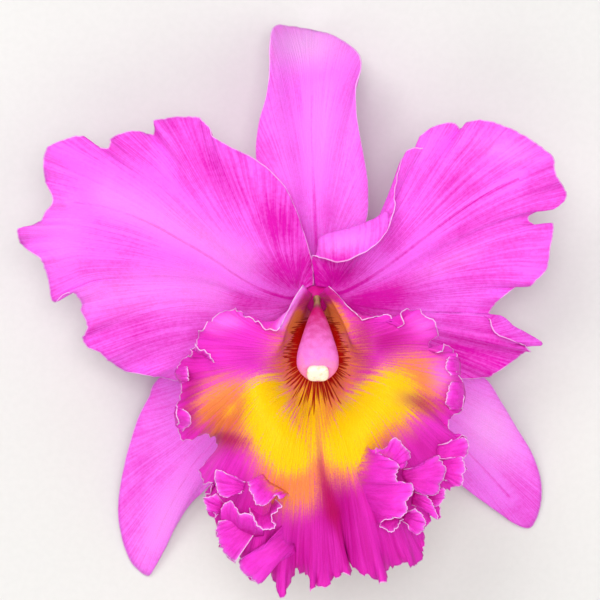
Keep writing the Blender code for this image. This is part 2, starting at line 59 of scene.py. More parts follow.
# Driving dimensions, in metres unless the name says otherwise
NATURAL_SPREAD = 0.1644  # left petal tip to right petal tip
SPREAD_PIXELS = 548  # the same, counted in the photograph
PIXEL = NATURAL_SPREAD / SPREAD_PIXELS  # at the height of the column's base
EYE_HEIGHT = 0.600  # camera above the column's base
EYE_PIXEL = (300, 300)  # the photograph's middle
BASE_PIXEL = (317, 300)  # where the column stands
BASE = np.array((0.0076, 0.0008, 0.0345))  # the same place in the part's frame
MM = 0.001
IMAGE_PIXELS = 600
SENSOR = 36.0  # mm

RIB_POINTS = 161
FOLD_AT = 0.88  # how far along a vein a turned edge folds over

Knot = tuple[float, float, float]
Pixel = tuple[float, float]


class Slot(Enum):
    """The record's material slots."""

    SEPAL = "sepal"
    PETAL = "petal"
    LIP = "lip"
    COLUMN = "column"
    CAP = "anther_cap"
    POLLEN = "pollen"
    STEM = "stem"


def sighted(points: Sequence[Knot]) -> np.ndarray:
    """Turn sighted points into places in the part's frame.

    Args:
        points: Points as (column, row, height in millimetres).

    Returns:
        One row of x, y and z for each point, in metres.
    """
    table = np.array(points, float)
    height = table[:, 2] * MM
    scale = PIXEL * (1 - height / EYE_HEIGHT)
    across = (table[:, 0] - EYE_PIXEL[0]) * scale + (EYE_PIXEL[0] - BASE_PIXEL[0]) * PIXEL
    up = (EYE_PIXEL[1] - table[:, 1]) * scale + (BASE_PIXEL[1] - EYE_PIXEL[1]) * PIXEL
    return np.stack([across, up, height], axis=1) + BASE


def seen_at(places: np.ndarray) -> np.ndarray:
    """The column and row of the photograph at which each place is seen.

    Args:
        places: Places in the part's frame, with x, y and z last.

    Returns:
        The same array shape with column and row last.
    """
    own = places - BASE
    scale = PIXEL * (1 - own[..., 2] / EYE_HEIGHT)
    across = own[..., 0] - (EYE_PIXEL[0] - BASE_PIXEL[0]) * PIXEL
    up = own[..., 1] - (BASE_PIXEL[1] - EYE_PIXEL[1]) * PIXEL
    return np.stack([EYE_PIXEL[0] + across / scale, EYE_PIXEL[1] - up / scale], axis=-1)


def catmull(a: np.ndarray, b: np.ndarray, c: np.ndarray, d: np.ndarray, t: Any) -> np.ndarray:
    """The Catmull-Rom curve between b and c, where t goes from 0 to 1."""
    return 0.5 * (
        2 * b + (c - a) * t + (2 * a - 5 * b + 4 * c - d) * t**2 + (3 * b - a - 3 * c + d) * t**3
    )


def spline(knots: np.ndarray, places: np.ndarray) -> np.ndarray:
    """Read a Catmull-Rom curve.

    Args:
        knots: The points that the curve goes through.
        places: Where to read it, counted in knots.

    Returns:
        One row for each place.
    """
    knots = np.asarray(knots, float)
    padded = np.concatenate([2 * knots[:1] - knots[1:2], knots, 2 * knots[-1:] - knots[-2:-1]])
    places = np.clip(np.asarray(places, float), 0, len(knots) - 1)
    index = np.minimum(places.astype(int), len(knots) - 2)
    t = (places - index)[:, None]
    a, b, c, d = (padded[index + k] for k in range(4))
    return catmull(a, b, c, d, t)


def along(knots: np.ndarray, count: int) -> np.ndarray:
    """A number of points along the curve through the knots."""
    return spline(knots, np.linspace(0, len(knots) - 1, count))


def evenly_along(knots: np.ndarray, count: int) -> np.ndarray:
    """A number of points along the curve through the knots, all equally far apart."""
    fine = along(knots, 40 * len(knots))
    steps = lengths(np.diff(fine, axis=0))[:, 0]
    arc = np.concatenate([[0.0], np.cumsum(steps)])
    places = np.interp(np.linspace(0, arc[-1], count), arc, np.linspace(0, len(knots) - 1, len(fine)))
    return spline(knots, places)


def blurred(curve: np.ndarray, width: float) -> np.ndarray:
    """A curve without its fine bends.

    Args:
        curve: One row for each point.
        width: The bends that go are finer than this many points.

    Returns:
        The calmer curve, with its ends kept.
    """
    if width < 0.05:
        return curve
    reach = min(int(3 * width) + 1, len(curve) - 1)
    head = 2 * curve[0] - curve[reach:0:-1]
    tail = 2 * curve[-1] - curve[-2 : -reach - 2 : -1]
    padded = np.concatenate([head, curve, tail])
    kernel = np.exp(-0.5 * (np.arange(-reach, reach + 1) / width) ** 2)
    kernel /= kernel.sum()
    return np.stack([np.convolve(column, kernel, "valid") for column in padded.T], axis=1)


def blurred_values(values: np.ndarray, width: float) -> np.ndarray:
    """The same for a row of numbers."""
    return blurred(values[:, None], width)[:, 0]


def smooth_step(value: Any) -> Any:
    """0 below 0, 1 above 1, and an even S between."""
    value = np.clip(value, 0.0, 1.0)
    return value * value * (3 - 2 * value)


def lengths(vectors: np.ndarray) -> np.ndarray:
    """The length of each vector, as a column."""
    return np.linalg.norm(vectors, axis=-1)[..., None]


def ripple(arc: np.ndarray, spacing: float, seed: float) -> np.ndarray:
    """An uneven wave along a margin.

    Args:
        arc: Places along the margin, in millimetres.
        spacing: From one crest to the next, about, in millimetres.
        seed: Tells one wave from another.

    Returns:
        A value from about -1 to 1 at each place.
    """
    return np.array([2 * noise.noise(Vector((a / spacing * 2, seed, 0.5))) for a in arc])


@dataclass(frozen=True)
class Patch:
    """A soft oval of pigment, placed and sized in pixels of the photograph; a few carry painted shade
    too.
    """

    centre: Pixel
    reach: Pixel
    turn: float = 0.0  # degrees, clockwise as seen
    strength: float = 1.0

    def amount(self, seen: np.ndarray) -> np.ndarray:
        """How strong the pigment is at each (column, row)."""
        angle = math.radians(self.turn)
        away = seen - np.array(self.centre)
        first = away[..., 0] * math.cos(angle) + away[..., 1] * math.sin(angle)
        second = away[..., 1] * math.cos(angle) - away[..., 0] * math.sin(angle)
        square = (first / self.reach[0]) ** 2 + (second / self.reach[1]) ** 2
        return self.strength * np.exp(-square)


@dataclass(frozen=True)
class Stroke:
    """A soft line of pigment through pixels of the photograph."""

    points: Sequence[Pixel]
    width: float
    strength: float = 1.0
    start: tuple[float, float] | None = None  # its width and strength at its first point

    def amount(self, seen: np.ndarray) -> np.ndarray:
        """How strong the pigment is at each (column, row)."""
        line = along(np.array(self.points, float), 60)
        first_width, first_strength = self.start or (self.width, self.strength)
        width = np.linspace(first_width, self.width, len(line))
        strength = np.linspace(first_strength, self.strength, len(line))
        away = np.linalg.norm(seen[..., None, :] - line, axis=-1) / width
        return (strength * np.exp(-(away**2))).max(axis=-1)


def pigment(marks: Sequence[Patch | Stroke], seen: np.ndarray) -> np.ndarray:
    """The strongest of the marks at each (column, row), or 0 where there are none."""
    amounts = [mark.amount(seen) for mark in marks]
    return np.clip(np.max(amounts, axis=0), 0, 1) if amounts else np.zeros(seen.shape[:-1])


# How materials are made


def linear(code: str) -> tuple[float, float, float, float]:
    """Turn an sRGB hex colour such as #ff8000 into linear red, green, blue and alpha."""
    parts = [int(code[k : k + 2], 16) / 255 for k in (1, 3, 5)]
    turned = [p / 12.92 if p <= 0.04045 else ((p + 0.055) / 1.055) ** 2.4 for p in parts]
    return (*turned, 1.0)


def add(tree: bpy.types.NodeTree, kind: str, links: dict[Any, Any], **settings: Any) -> Any:
    """Add one node.

    Args:
        tree: The tree it goes into.
        kind: Its type name, without the words ShaderNode in front.
        links: For each input, by name or number, a value or the output that feeds it.
        settings: The node's own properties.

    Returns:
        The new node.
    """
    node = tree.nodes.new("ShaderNode" + kind)
    for name, value in settings.items():
        setattr(node, name, value)
    for key, value in links.items():
        if isinstance(value, bpy.types.NodeSocket):
            tree.links.new(value, node.inputs[key])
        else:
            node.inputs[key].default_value = value
    return node


def mixed(tree: bpy.types.NodeTree, factor: Any, first: Any, second: Any, blend: str = "MIX") -> Any:
    """The colour output of a node that mixes two colours."""
    node = add(
        tree, "Mix", {0: factor, 6: first, 7: second}, data_type="RGBA", blend_type=blend
    )
    return node.outputs[2]


def ranged(tree: bpy.types.NodeTree, value: Any, low: float, high: float, start=0.0, end=1.0) -> Any:
    """A value whose range low to high becomes start to end, evenly and clamped."""
    links = {"Value": value, "From Min": low, "From Max": high, "To Min": start, "To Max": end}
    return add(tree, "MapRange", links, interpolation_type="SMOOTHSTEP").outputs["Result"]


def worked(tree: bpy.types.NodeTree, operation: str, first: Any, second: Any) -> Any:
    """The result of a sum, product or other operation on two values."""
    return add(tree, "Math", {0: first, 1: second}, operation=operation).outputs[0]


def attribute(tree: bpy.types.NodeTree, name: str) -> Any:
    """The values that the piece carries under a name."""
    return add(tree, "Attribute", {}, attribute_name=name).outputs["Fac"]


def begun(name: str) -> tuple[bpy.types.Material, Any, Any]:
    """A new material, its node tree and its main shader."""
    made = bpy.data.materials.new(name)
    made.use_nodes = True
    return made, made.node_tree, made.node_tree.nodes["Principled BSDF"]


@dataclass(frozen=True)
class Tissue:
    """How living petal tissue takes light: soft, a little translucent, with a fine sparkle.

    The skin is a layer of dome-shaped cells about 0.03 mm across. That is too fine to show, so
    they are drawn 0.25 mm across, as bumps with a painted glint on each dome, which gives the
    eye the same velvet sparkle.
    """

    roughness: float = 0.5
    cell: float = 0.25 * MM
    cell_height: float = 0.05 * MM
    vein_height: float = 0.12 * MM
    scatter_reach: float = 0.9 * MM
    scatter: float = 0.25
    sheen: float = 0.0
    gloss: float = 0.16

    def dress(self, tree: Any, shader: Any, colour: Any, veins: Any) -> None:
        """Set the shader up.

        Args:
            tree: The material's node tree.
            shader: Its main shader.
            colour: The output that gives the colour.
            veins: The output that gives the height of the veins.
        """
        place = add(tree, "TexCoord", {}).outputs["Object"]
        cells = add(tree, "TexVoronoi", {"Vector": place, "Scale": 1 / self.cell})
        papillae = ranged(tree, cells.outputs["Distance"], 0.0, 0.8, 1.0, 0.0)
        fine = add(
            tree, "Bump", {"Height": papillae, "Strength": 0.5, "Distance": self.cell_height}
        )
        raised = add(
            tree,
            "Bump",
            {
                "Height": veins,
                "Strength": 0.6,
                "Distance": self.vein_height,
                "Normal": fine.outputs[0],
            },
        )
        # Painted glint: each cell's dome is drawn lighter in colour and its edge darker, a painted
        # highlight
        painted_glint = ranged(tree, papillae, 0.2, 1.0, 0.93, 1.05)
        tinted = mixed(tree, 1.0, colour, painted_glint, "MULTIPLY")
        tree.links.new(tinted, shader.inputs["Base Color"])
        tree.links.new(raised.outputs[0], shader.inputs["Normal"])
        shader.inputs["Roughness"].default_value = self.roughness
        shader.inputs["IOR"].default_value = 1.4
        shader.inputs["Specular IOR Level"].default_value = self.gloss
        shader.inputs["Subsurface Weight"].default_value = self.scatter
        shader.inputs["Subsurface Radius"].default_value = (1.0, 0.35, 0.8)
        shader.inputs["Subsurface Scale"].default_value = self.scatter_reach
        shader.inputs["Sheen Weight"].default_value = self.sheen
        shader.inputs["Sheen Roughness"].default_value = 0.4


@dataclass(frozen=True)
class PetalFinish:
    """Petal and sepal tissue: lilac-magenta, deeper at the claw, finely veined, with painted shade at
    the midrib and margin and a painted rim highlight.
    """

    name: str
    lit: str
    deep: str
    # The colour of the painted highlight along the rim
    rim: str = "#ffc4fa"
    pale: str = "#fdb6fb"
    vein_count: float = 230.0
    vein_tint: float = 0.24
    # How much painted shade darkens the blade at its margin
    painted_margin_shade: float = 0.14
    tissue: Tissue = Tissue()

    def build(self) -> bpy.types.Material:
        """Make the material."""
        made, tree, shader = begun(self.name)
        lane = add(tree, "UVMap", {}, uv_map="UVMap").outputs[0]
        lanes = add(tree, "Mapping", {"Vector": lane, "Scale": (self.vein_count, 2.2, 1.0)})
        veins = add(
            tree,
            "TexNoise",
            {"Vector": lanes.outputs[0], "Scale": 1.0, "Detail": 3.0, "Roughness": 0.65},
        ).outputs["Fac"]
        vein = ranged(tree, veins, 0.36, 0.66)
        shift = worked(tree, "MULTIPLY", worked(tree, "SUBTRACT", vein, 0.5), self.vein_tint * 2)
        depth = worked(tree, "ADD", attribute(tree, "deep"), shift)
        place = add(tree, "TexCoord", {}).outputs["Object"]
        cloud = add(
            tree, "TexNoise", {"Vector": place, "Scale": 1 / (14.0 * MM), "Detail": 3.0}
        ).outputs["Fac"]
        depth = worked(tree, "ADD", depth, ranged(tree, cloud, 0.35, 0.7, -0.06, 0.22))
        net = add(
            tree, "TexNoise", {"Vector": place, "Scale": 1 / (1.1 * MM), "Detail": 3.0}
        ).outputs["Fac"]
        depth = worked(tree, "ADD", depth, ranged(tree, net, 0.4, 0.65, -0.06, 0.1))
        # Painted shade near the margin, fading out 6 mm in
        margin = ranged(tree, attribute(tree, "edge_mm"), 0.5, 6.0, self.painted_margin_shade, 0.0)
        depth = worked(tree, "ADD", depth, margin)
        # Darker along the midrib: partly the vein's own colour, partly painted shade in its groove.
        # Lighter up to 4.5 mm either side of it: painted light on the groove's flanks.
        rib = ranged(tree, attribute(tree, "rib_mm"), 0.1, 0.8, 0.65, 0.0)
        depth = worked(tree, "ADD", depth, rib)
        painted_light_beside_rib = ranged(tree, attribute(tree, "rib_mm"), 0.8, 4.5, 0.35, 0.0)
        depth = worked(tree, "SUBTRACT", depth, painted_light_beside_rib)
        depth = add(tree, "Clamp", {0: depth}).outputs[0]
        colour = mixed(tree, depth, linear(self.lit), linear(self.deep))
        colour = mixed(tree, attribute(tree, "pale"), colour, linear(self.pale))
        # Painted highlight along the rim, within about half a millimetre of the margin, fading out near
        # the claw
        edge = ranged(tree, attribute(tree, "edge_mm"), 0.08, 0.55, 0.75, 0.0)
        away_from_claw = ranged(tree, attribute(tree, "deep"), 0.6, 0.95, 1.0, 0.0)
        edge = worked(tree, "MULTIPLY", edge, away_from_claw)
        colour = mixed(tree, edge, colour, linear(self.rim))
        self.tissue.dress(tree, shader, colour, vein)
        return made


@dataclass(frozen=True)
class LipFinish:
    """Lip tissue: magenta lobes, two yellow eyes in an orange haze, dark red lines in the throat."""

    name: str
    magenta: str = "#f236d2"
    deep: str = "#c2058c"
    groove: str = "#b4005e"
    orange: str = "#f28a4c"
    yellow: str = "#ffcb04"
    line: str = "#a81414"
    line_with_painted_light: str = "#d81612"
    stain: str = "#f25a1e"
    # The colour of the painted highlight along the rim
    rim: str = "#ffd2fb"
    pale: str = "#fd86f5"
    vein_count: float = 260.0
    line_spacing: float = 1.15  # pixels between the throat's dark lines
    tissue: Tissue = Tissue(roughness=0.42, vein_height=0.16 * MM)

    def build(self) -> bpy.types.Material:
        """Make the material."""
        made, tree, shader = begun(self.name)
        lane = add(tree, "UVMap", {}, uv_map="UVMap").outputs[0]
        lanes = add(tree, "Mapping", {"Vector": lane, "Scale": (self.vein_count, 3.0, 1.0)})
        veins = add(
            tree,
            "TexNoise",
            {"Vector": lanes.outputs[0], "Scale": 1.0, "Detail": 3.0, "Roughness": 0.65},
        ).outputs["Fac"]
        vein = ranged(tree, veins, 0.36, 0.66)
        place = add(tree, "TexCoord", {}).outputs["Object"]
        grain = add(
            tree, "TexNoise", {"Vector": place, "Scale": 1 / (0.45 * MM), "Detail": 1.0}
        ).outputs["Fac"]
        streak = worked(tree, "MULTIPLY", vein, 0.34)
        haze = worked(tree, "ADD", streak, worked(tree, "MULTIPLY", grain, 0.5))
        haze = worked(tree, "SUBTRACT", haze, 0.42)

        uneven = worked(tree, "ADD", worked(tree, "MULTIPLY", haze, 2.0), 1.0)

        def speckled(name: str, low: float, high: float) -> Any:
            """A zone of pigment that ends in speckles and streaks."""
            amount = worked(tree, "MULTIPLY", attribute(tree, name), uneven)
            return ranged(tree, amount, low, high)

        depth = worked(tree, "ADD", attribute(tree, "deep"), worked(tree, "MULTIPLY", vein, 0.3))
        colour = mixed(tree, depth, linear(self.magenta), linear(self.deep))
        colour = mixed(tree, speckled("orange", 0.05, 0.72), colour, linear(self.orange))
        colour = mixed(tree, speckled("yellow", 0.15, 0.65), colour, linear(self.yellow))
        groove = ranged(tree, attribute(tree, "groove"), 0.05, 1.0)
        colour = mixed(tree, groove, colour, linear(self.groove))

        throat = attribute(tree, "throat")
        round_about = worked(tree, "DIVIDE", attribute(tree, "ray"), self.line_spacing)
        rays = add(tree, "CombineXYZ", {0: round_about, 1: worked(tree, "MULTIPLY", throat, 1.5)})
        ray = add(
            tree,
            "TexNoise",
            {"Vector": rays.outputs[0], "Scale": 1.0, "Detail": 1.0, "Roughness": 0.4},
        ).outputs["Fac"]
        drawn = worked(tree, "ADD", worked(tree, "MULTIPLY", ray, 2.2), throat)
        shadow = ranged(tree, throat, 0.45, 1.0, 0.0, 0.6)
        colour = mixed(tree, shadow, colour, linear(self.stain))
        # Deeper in the throat the lines turn a brighter red: painted light against the throat's shade
        within = ranged(tree, throat, 0.5, 1.0)
        line = mixed(tree, within, linear(self.line), linear(self.line_with_painted_light))
        colour = mixed(tree, ranged(tree, drawn, 1.52, 1.86), colour, line)
        pale = ranged(tree, attribute(tree, "pale"), 0.0, 1.0)
        colour = mixed(tree, pale, colour, linear(self.pale))

        # Painted highlight along the rim, within 0.4 mm of the margin
        edge = ranged(tree, attribute(tree, "edge_mm"), 0.05, 0.4, 0.75, 0.0)
        colour = mixed(tree, edge, colour, linear(self.rim))
        self.tissue.dress(tree, shader, colour, vein)
        return made


@dataclass(frozen=True)
class ColumnFinish:
    """Waxy column tissue: smooth and firm, magenta at the base, lilac at the shoulders."""

    name: str = "column_tissue"
    foot: str = "#cdbf78"
    ring: str = "#b0566e"
    base: str = "#d31a78"
    middle: str = "#f983df"
    end: str = "#f68cc4"
    flush: str = "#d5187c"

    def build(self) -> bpy.types.Material:
        """Make the material."""
        made, tree, shader = begun(self.name)
        share = attribute(tree, "share")
        place = add(tree, "TexCoord", {}).outputs["Object"]
        blotch = add(
            tree, "TexNoise", {"Vector": place, "Scale": 1 / (2.4 * MM), "Detail": 2.0}
        ).outputs["Fac"]
        moved = worked(tree, "ADD", share, ranged(tree, blotch, 0.3, 0.7, -0.06, 0.06))
        colour = mixed(tree, ranged(tree, moved, 0.30, 0.78), linear(self.base), linear(self.middle))
        colour = mixed(tree, ranged(tree, share, 0.24, 0.33, 1.0, 0.0), colour, linear(self.ring))
        colour = mixed(tree, ranged(tree, share, 0.17, 0.25, 1.0, 0.0), colour, linear(self.foot))
        colour = mixed(tree, ranged(tree, moved, 0.68, 0.90), colour, linear(self.end))
        grain = add(
            tree, "TexNoise", {"Vector": place, "Scale": 1 / (0.35 * MM), "Detail": 2.0}
        ).outputs["Fac"]
        colour = mixed(tree, ranged(tree, grain, 0.55, 0.8, 0.0, 0.18), colour, linear(self.flush))
        Tissue(roughness=0.33, cell_height=0.02 * MM, vein_height=0.03 * MM).dress(
            tree, shader, colour, grain
        )
        return made


@dataclass(frozen=True)
class CapFinish:
    """The anther cap's dry ivory skin, faintly yellow and finely pitted."""

    name: str = "anther_cap_skin"
    ivory: str = "#fff6e6"
    tint: str = "#f6dfa4"

    def build(self) -> bpy.types.Material:
        """Make the material."""
        made, tree, shader = begun(self.name)
        place = add(tree, "TexCoord", {}).outputs["Object"]
        cloud = add(
            tree, "TexNoise", {"Vector": place, "Scale": 1 / (1.6 * MM), "Detail": 3.0}
        ).outputs["Fac"]
        colour = mixed(tree, ranged(tree, cloud, 0.5, 0.75), linear(self.ivory), linear(self.tint))
        Tissue(roughness=0.45, cell_height=0.03 * MM, sheen=0.0).dress(tree, shader, colour, cloud)
        return made


@dataclass(frozen=True)
class PollenFinish:
    """Waxy masses of pollen, golden yellow."""

    name: str = "pollen_wax"
    gold: str = "#e9b93a"
    shade: str = "#c48a1c"

    def build(self) -> bpy.types.Material:
        """Make the material."""
        made, tree, shader = begun(self.name)
        place = add(tree, "TexCoord", {}).outputs["Object"]
        cloud = add(
            tree, "TexNoise", {"Vector": place, "Scale": 1 / (0.5 * MM), "Detail": 3.0}
        ).outputs["Fac"]
        colour = mixed(tree, ranged(tree, cloud, 0.4, 0.7), linear(self.gold), linear(self.shade))
        Tissue(roughness=0.3, cell_height=0.02 * MM, sheen=0.0).dress(tree, shader, colour, cloud)
        return made


@dataclass(frozen=True)
class StemFinish:
    """Ovary and stalk: pale green skin with a rosy flush along the ribs and a wet cut end."""

    name: str = "ovary_skin"
    green: str = "#8fae55"
    dark: str = "#5f8236"
    flush: str = "#a8657c"
    top: str = "#dc1496"
    cut: str = "#d9e2b0"

    def build(self) -> bpy.types.Material:
        """Make the material."""
        made, tree, shader = begun(self.name)
        place = add(tree, "TexCoord", {}).outputs["Object"]
        cloud = add(
            tree, "TexNoise", {"Vector": place, "Scale": 1 / (3.0 * MM), "Detail": 4.0}
        ).outputs["Fac"]
        colour = mixed(tree, ranged(tree, cloud, 0.35, 0.7), linear(self.green), linear(self.dark))
        colour = mixed(
            tree, ranged(tree, attribute(tree, "ridge"), 0.5, 1.0, 0.0, 0.5), colour, linear(self.flush)
        )
        colour = mixed(
            tree, ranged(tree, attribute(tree, "share"), 0.985, 0.995), colour, linear(self.cut)
        )
        top = ranged(tree, attribute(tree, "share"), 0.02, 0.14, 1.0, 0.0)
        colour = mixed(tree, top, colour, linear(self.top))
        Tissue(roughness=0.4, cell_height=0.02 * MM, sheen=0.05).dress(tree, shader, colour, cloud)
        return made


@dataclass(frozen=True)
class FloorFinish:
    """Matt off-white card."""

    name: str = "pale_card"
    pale: str = "#e2e1de"
    fleck: str = "#e0dfdc"

    def build(self) -> bpy.types.Material:
        """Make the material."""
        made, tree, shader = begun(self.name)
        place = add(tree, "TexCoord", {}).outputs["Object"]
        fibre = add(
            tree, "TexNoise", {"Vector": place, "Scale": 1 / (2.0 * MM), "Detail": 4.0}
        ).outputs["Fac"]
        colour = mixed(tree, ranged(tree, fibre, 0.3, 0.7), linear(self.pale), linear(self.fleck))
        tree.links.new(colour, shader.inputs["Base Color"])
        shader.inputs["Roughness"].default_value = 0.85
        return made


# How pieces are made


def begin() -> None:
    """Leave nothing selected, so that an operator acts on the new piece alone."""
    for item in bpy.context.selected_objects:
        item.select_set(False)


def settle(piece: bpy.types.Object, slot: Slot, material: bpy.types.Material, *nodes: str) -> None:
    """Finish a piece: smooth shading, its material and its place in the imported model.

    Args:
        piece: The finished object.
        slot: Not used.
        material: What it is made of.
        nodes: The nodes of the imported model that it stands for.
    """
    piece.data.shade_smooth()
    piece.data.materials.clear()
    piece.data.materials.append(material)
    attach(piece, "root")
    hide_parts(*nodes)
    LOG.info("%s: %d faces, for %s", piece.name, len(piece.data.polygons), ", ".join(nodes))


def carry(mesh: bpy.types.Mesh, values: dict[str, np.ndarray]) -> None:
    """Store values on the mesh's points, each under its name."""
    for name, numbers in values.items():
        layer = mesh.attributes.new(name, "FLOAT", "POINT")
        layer.data.foreach_set("value", np.ascontiguousarray(numbers, np.float32).ravel())


@dataclass
class Skin:
    """A grid of points for a sheet, from its claw to its margin, and what they carry."""

    places: np.ndarray
    crisp_spacing: float = 6.0  # mm
    crisp_height: float = 0.35  # mm
    crisp_reach: float = 5.0  # mm
    tooth_spacing: float = 2.5  # mm
    tooth_depth: float = 0.12  # mm
    calm_ends: float = 0.0  # mm of margin at each end over which the frill grows in
    seed: float = 0.0

    def edge_distance(self) -> np.ndarray:
        """How far each point is from the margin, along its vein, in millimetres."""
        steps = lengths(np.diff(self.places, axis=0))[..., 0] / MM
        back = np.cumsum(steps[::-1], axis=0)[::-1]
        return np.concatenate([back, np.zeros((1, back.shape[1]))])

    def margin_arc(self) -> np.ndarray:
        """How far each vein's end is along the margin, in millimetres."""
        steps = lengths(np.diff(self.places[-1], axis=0))[:, 0] / MM
        return np.concatenate([[0.0], np.cumsum(steps)])

    def facing(self) -> np.ndarray:
        """The unit normal of the sheet at each point."""
        across = np.gradient(self.places, axis=1)
        out = np.gradient(self.places, axis=0)
        normal = np.cross(across, out)
        return normal / np.maximum(lengths(normal), 1e-12)

    def crisp(self) -> None:
        """Give the margin its fine frill and its small uneven teeth."""
        edge = self.edge_distance()
        arc = self.margin_arc()
        wave = ripple(arc, self.crisp_spacing, self.seed)
        wave = wave + 0.45 * ripple(arc, self.crisp_spacing * 0.42, self.seed + 7.3)
        fade = np.exp(-((edge / self.crisp_reach) ** 1.5))
        if self.calm_ends:
            grown = smooth_step(np.minimum(arc, arc[-1] - arc) / self.calm_ends)
            fade = fade * grown
        out = np.gradient(self.places, axis=0)
        out = out / np.maximum(lengths(out), 1e-12)
        tooth = ripple(arc, self.tooth_spacing, self.seed + 3.1)
        tooth = tooth + 0.6 * ripple(arc, self.tooth_spacing * 0.4, self.seed + 5.7)
        near = np.exp(-((edge / 1.2) ** 2)) * np.minimum(fade * 1.5, 1.0)
        self.places = (
            self.places
            + self.facing() * (self.crisp_height * MM * wave * fade)[..., None]
            + out * (self.tooth_depth * MM * tooth * near)[..., None]
        )

    def mesh(self, name: str, thickness: float, values: dict[str, np.ndarray]) -> bpy.types.Object:
        """Make the sheet: a grid bent to its points, with a wall that thins to the margin.

        Args:
            name: The piece's name.
            thickness: Of the wall, in metres, away from the margin.
            values: What each point carries, by name.

        Returns:
            The new object.
        """
        rows, columns = self.places.shape[:2]
        begin()
        bpy.ops.mesh.primitive_grid_add(
            x_subdivisions=columns - 1, y_subdivisions=rows - 1, size=1.0
        )
        piece = bpy.context.object
        piece.name = piece.data.name = name
        piece.data.vertices.foreach_set("co", self.places.reshape(-1).astype(np.float32))
        carry(piece.data, values)
        edge = values["edge_mm"].ravel()
        group = piece.vertex_groups.new(name="wall")
        weights = 0.4 + 0.6 * smooth_step(edge / 2.5)
        for index, weight in enumerate(weights):
            group.add([index], float(weight), "REPLACE")
        wall = piece.modifiers.new("wall", "SOLIDIFY")
        wall.thickness = thickness
        wall.offset = 0.0
        wall.vertex_group = group.name
        bpy.ops.object.modifier_apply(modifier=wall.name)
        return piece


@dataclass
class Blade:
    """A petal or a sepal, and what it takes to bend, tint and place it."""

    node: str
    slot: Slot
    margin: Sequence[Knot]
    midrib: Sequence[Knot]
    claw_width: Knot
    thickness: float
    folds: dict[int, Knot] = field(default_factory=dict)
    deep: Sequence[Patch | Stroke] = ()
    pale: Sequence[Patch | Stroke] = ()
    claw_tint: float = 0.9
    calm: float = 4.0
    blur: float = 3.4
    calming: float = 0.75  # below 1, the waves of the margin end nearer to it
    spread: float = 1.7
    valley: float = 1.8 * MM
    valley_width: float = 4.0 * MM
    fine: int = 6
    rows: int = 64
    turn_rows: int = 12
    crisp_height: float = 0.35
    tooth_depth: float = 0.12
    seed: float = 0.0

    def bend(self) -> tuple[np.ndarray, np.ndarray]:
        """The rows of points from claw to margin, and the midrib.

        A vein leaves the claw along the midrib and turns away from it to its own place on the
        margin. Waves of the margin fade towards the midrib, because each row follows a margin
        that is blurred more the further in it lies. Where a station has a fold, the rows go to
        the fold first and come back from it to the margin.

        Returns:
            The grid of points and the points of the midrib.
        """
        stations = sighted(self.margin)
        margin = along(stations, (len(stations) - 1) * self.fine + 1)
        rib = along(sighted(self.midrib), RIB_POINTS)
        calm = blurred(margin, self.calm * self.fine)
        distance = np.linalg.norm(calm[:, None, :] - rib[None, :, :], axis=2)
        share = blurred_values(distance.argmin(axis=1) / (RIB_POINTS - 1), float(self.fine))
        side = np.linspace(-0.5, 0.5, len(margin))[:, None] * np.array(self.claw_width) * MM
        keeled = np.clip(share / 0.25, 0, 1)

        def rib_at(amount: float) -> np.ndarray:
            """Where each vein is on the midrib."""
            return spline(rib, share * amount * (RIB_POINTS - 1))

        def vein(amount: float, edge: np.ndarray) -> np.ndarray:
            """The row of points that share of the way along every vein."""
            reach = blurred(edge, self.blur * self.fine * (1 - amount) ** self.calming)
            spread = amount**self.spread
            away = (reach - rib_at(1.0)) * spread
            place = rib_at(amount) + away + side * (1 - spread)
            dip = np.exp(-((lengths(away)[:, 0] / self.valley_width) ** 2)) * keeled
            place[:, 2] -= self.valley * dip * math.sin(math.pi * amount)
            return place

        at_fold = vein(FOLD_AT, margin)
        shift = np.zeros((len(stations), 3))
        ahead = np.zeros((len(stations), 3))
        turned = np.zeros((len(stations), 1))
        far_rib = rib_at(1.0)
        for station, point in self.folds.items():
            k = station * self.fine
            fold = sighted([point])[0]
            shift[station] = fold - at_fold[k]
            ahead[station] = fold + (fold - far_rib[k]) * 0.12 - margin[k]
            turned[station] = 1.0
        count = len(margin)
        turned_all = np.clip(along(turned, count), 0, 1)
        fold_all = at_fold + along(shift, count) * (turned_all > 0)
        target = margin + along(ahead, count) * (turned_all > 0)
        turn_rows = self.turn_rows if self.folds else max(self.rows // 10, 4)
        inner = self.rows - turn_rows
        rows = [vein(FOLD_AT * k / (inner - 1), target) for k in range(inner)]
        last = (fold_all - rows[-1]) * turned_all
        rows = [row + last * smooth_step(k / (inner - 1)) ** 2 for k, row in enumerate(rows)]
        onward = (rows[-1] - rows[-2]) / lengths(rows[-1] - rows[-2])
        chord = margin - rows[-1]
        for k in range(1, turn_rows + 1):
            u = k / turn_rows
            bulge = onward * lengths(chord) * (u - 2 * u**2 + u**3) * 1.6
            eased = u * (1 - turned_all) + smooth_step(u) * turned_all
            rows.append(rows[inner - 1] + chord * eased + bulge * turned_all)
        return np.stack(rows), rib

    def build(self, material: bpy.types.Material) -> bpy.types.Object:
        """Make the blade.

        Args:
            material: Its finish.

        Returns:
            The piece, riding in place of its node.
        """
        places, rib = self.bend()
        skin = Skin(
            places,
            crisp_height=self.crisp_height,
            tooth_depth=self.tooth_depth,
            seed=self.seed,
        )
        skin.crisp()
        apart = np.linalg.norm(skin.places[..., None, :2] - rib[:, :2], axis=-1).min(axis=-1)
        share = np.linspace(0, 1, places.shape[0])[:, None]
        deep = pigment(self.deep, seen_at(skin.places))
        deep = np.maximum(deep, self.claw_tint * np.exp(-((share / 0.25) ** 2)))
        values = {
            "edge_mm": skin.edge_distance(),
            "rib_mm": apart / MM,
            "deep": deep,
            "pale": pigment(self.pale, seen_at(skin.places)),
        }
        piece = skin.mesh(self.node + "_tissue", self.thickness, values)
        settle(piece, self.slot, material, self.node)
        return piece


# The outlines, as (column, row, height)

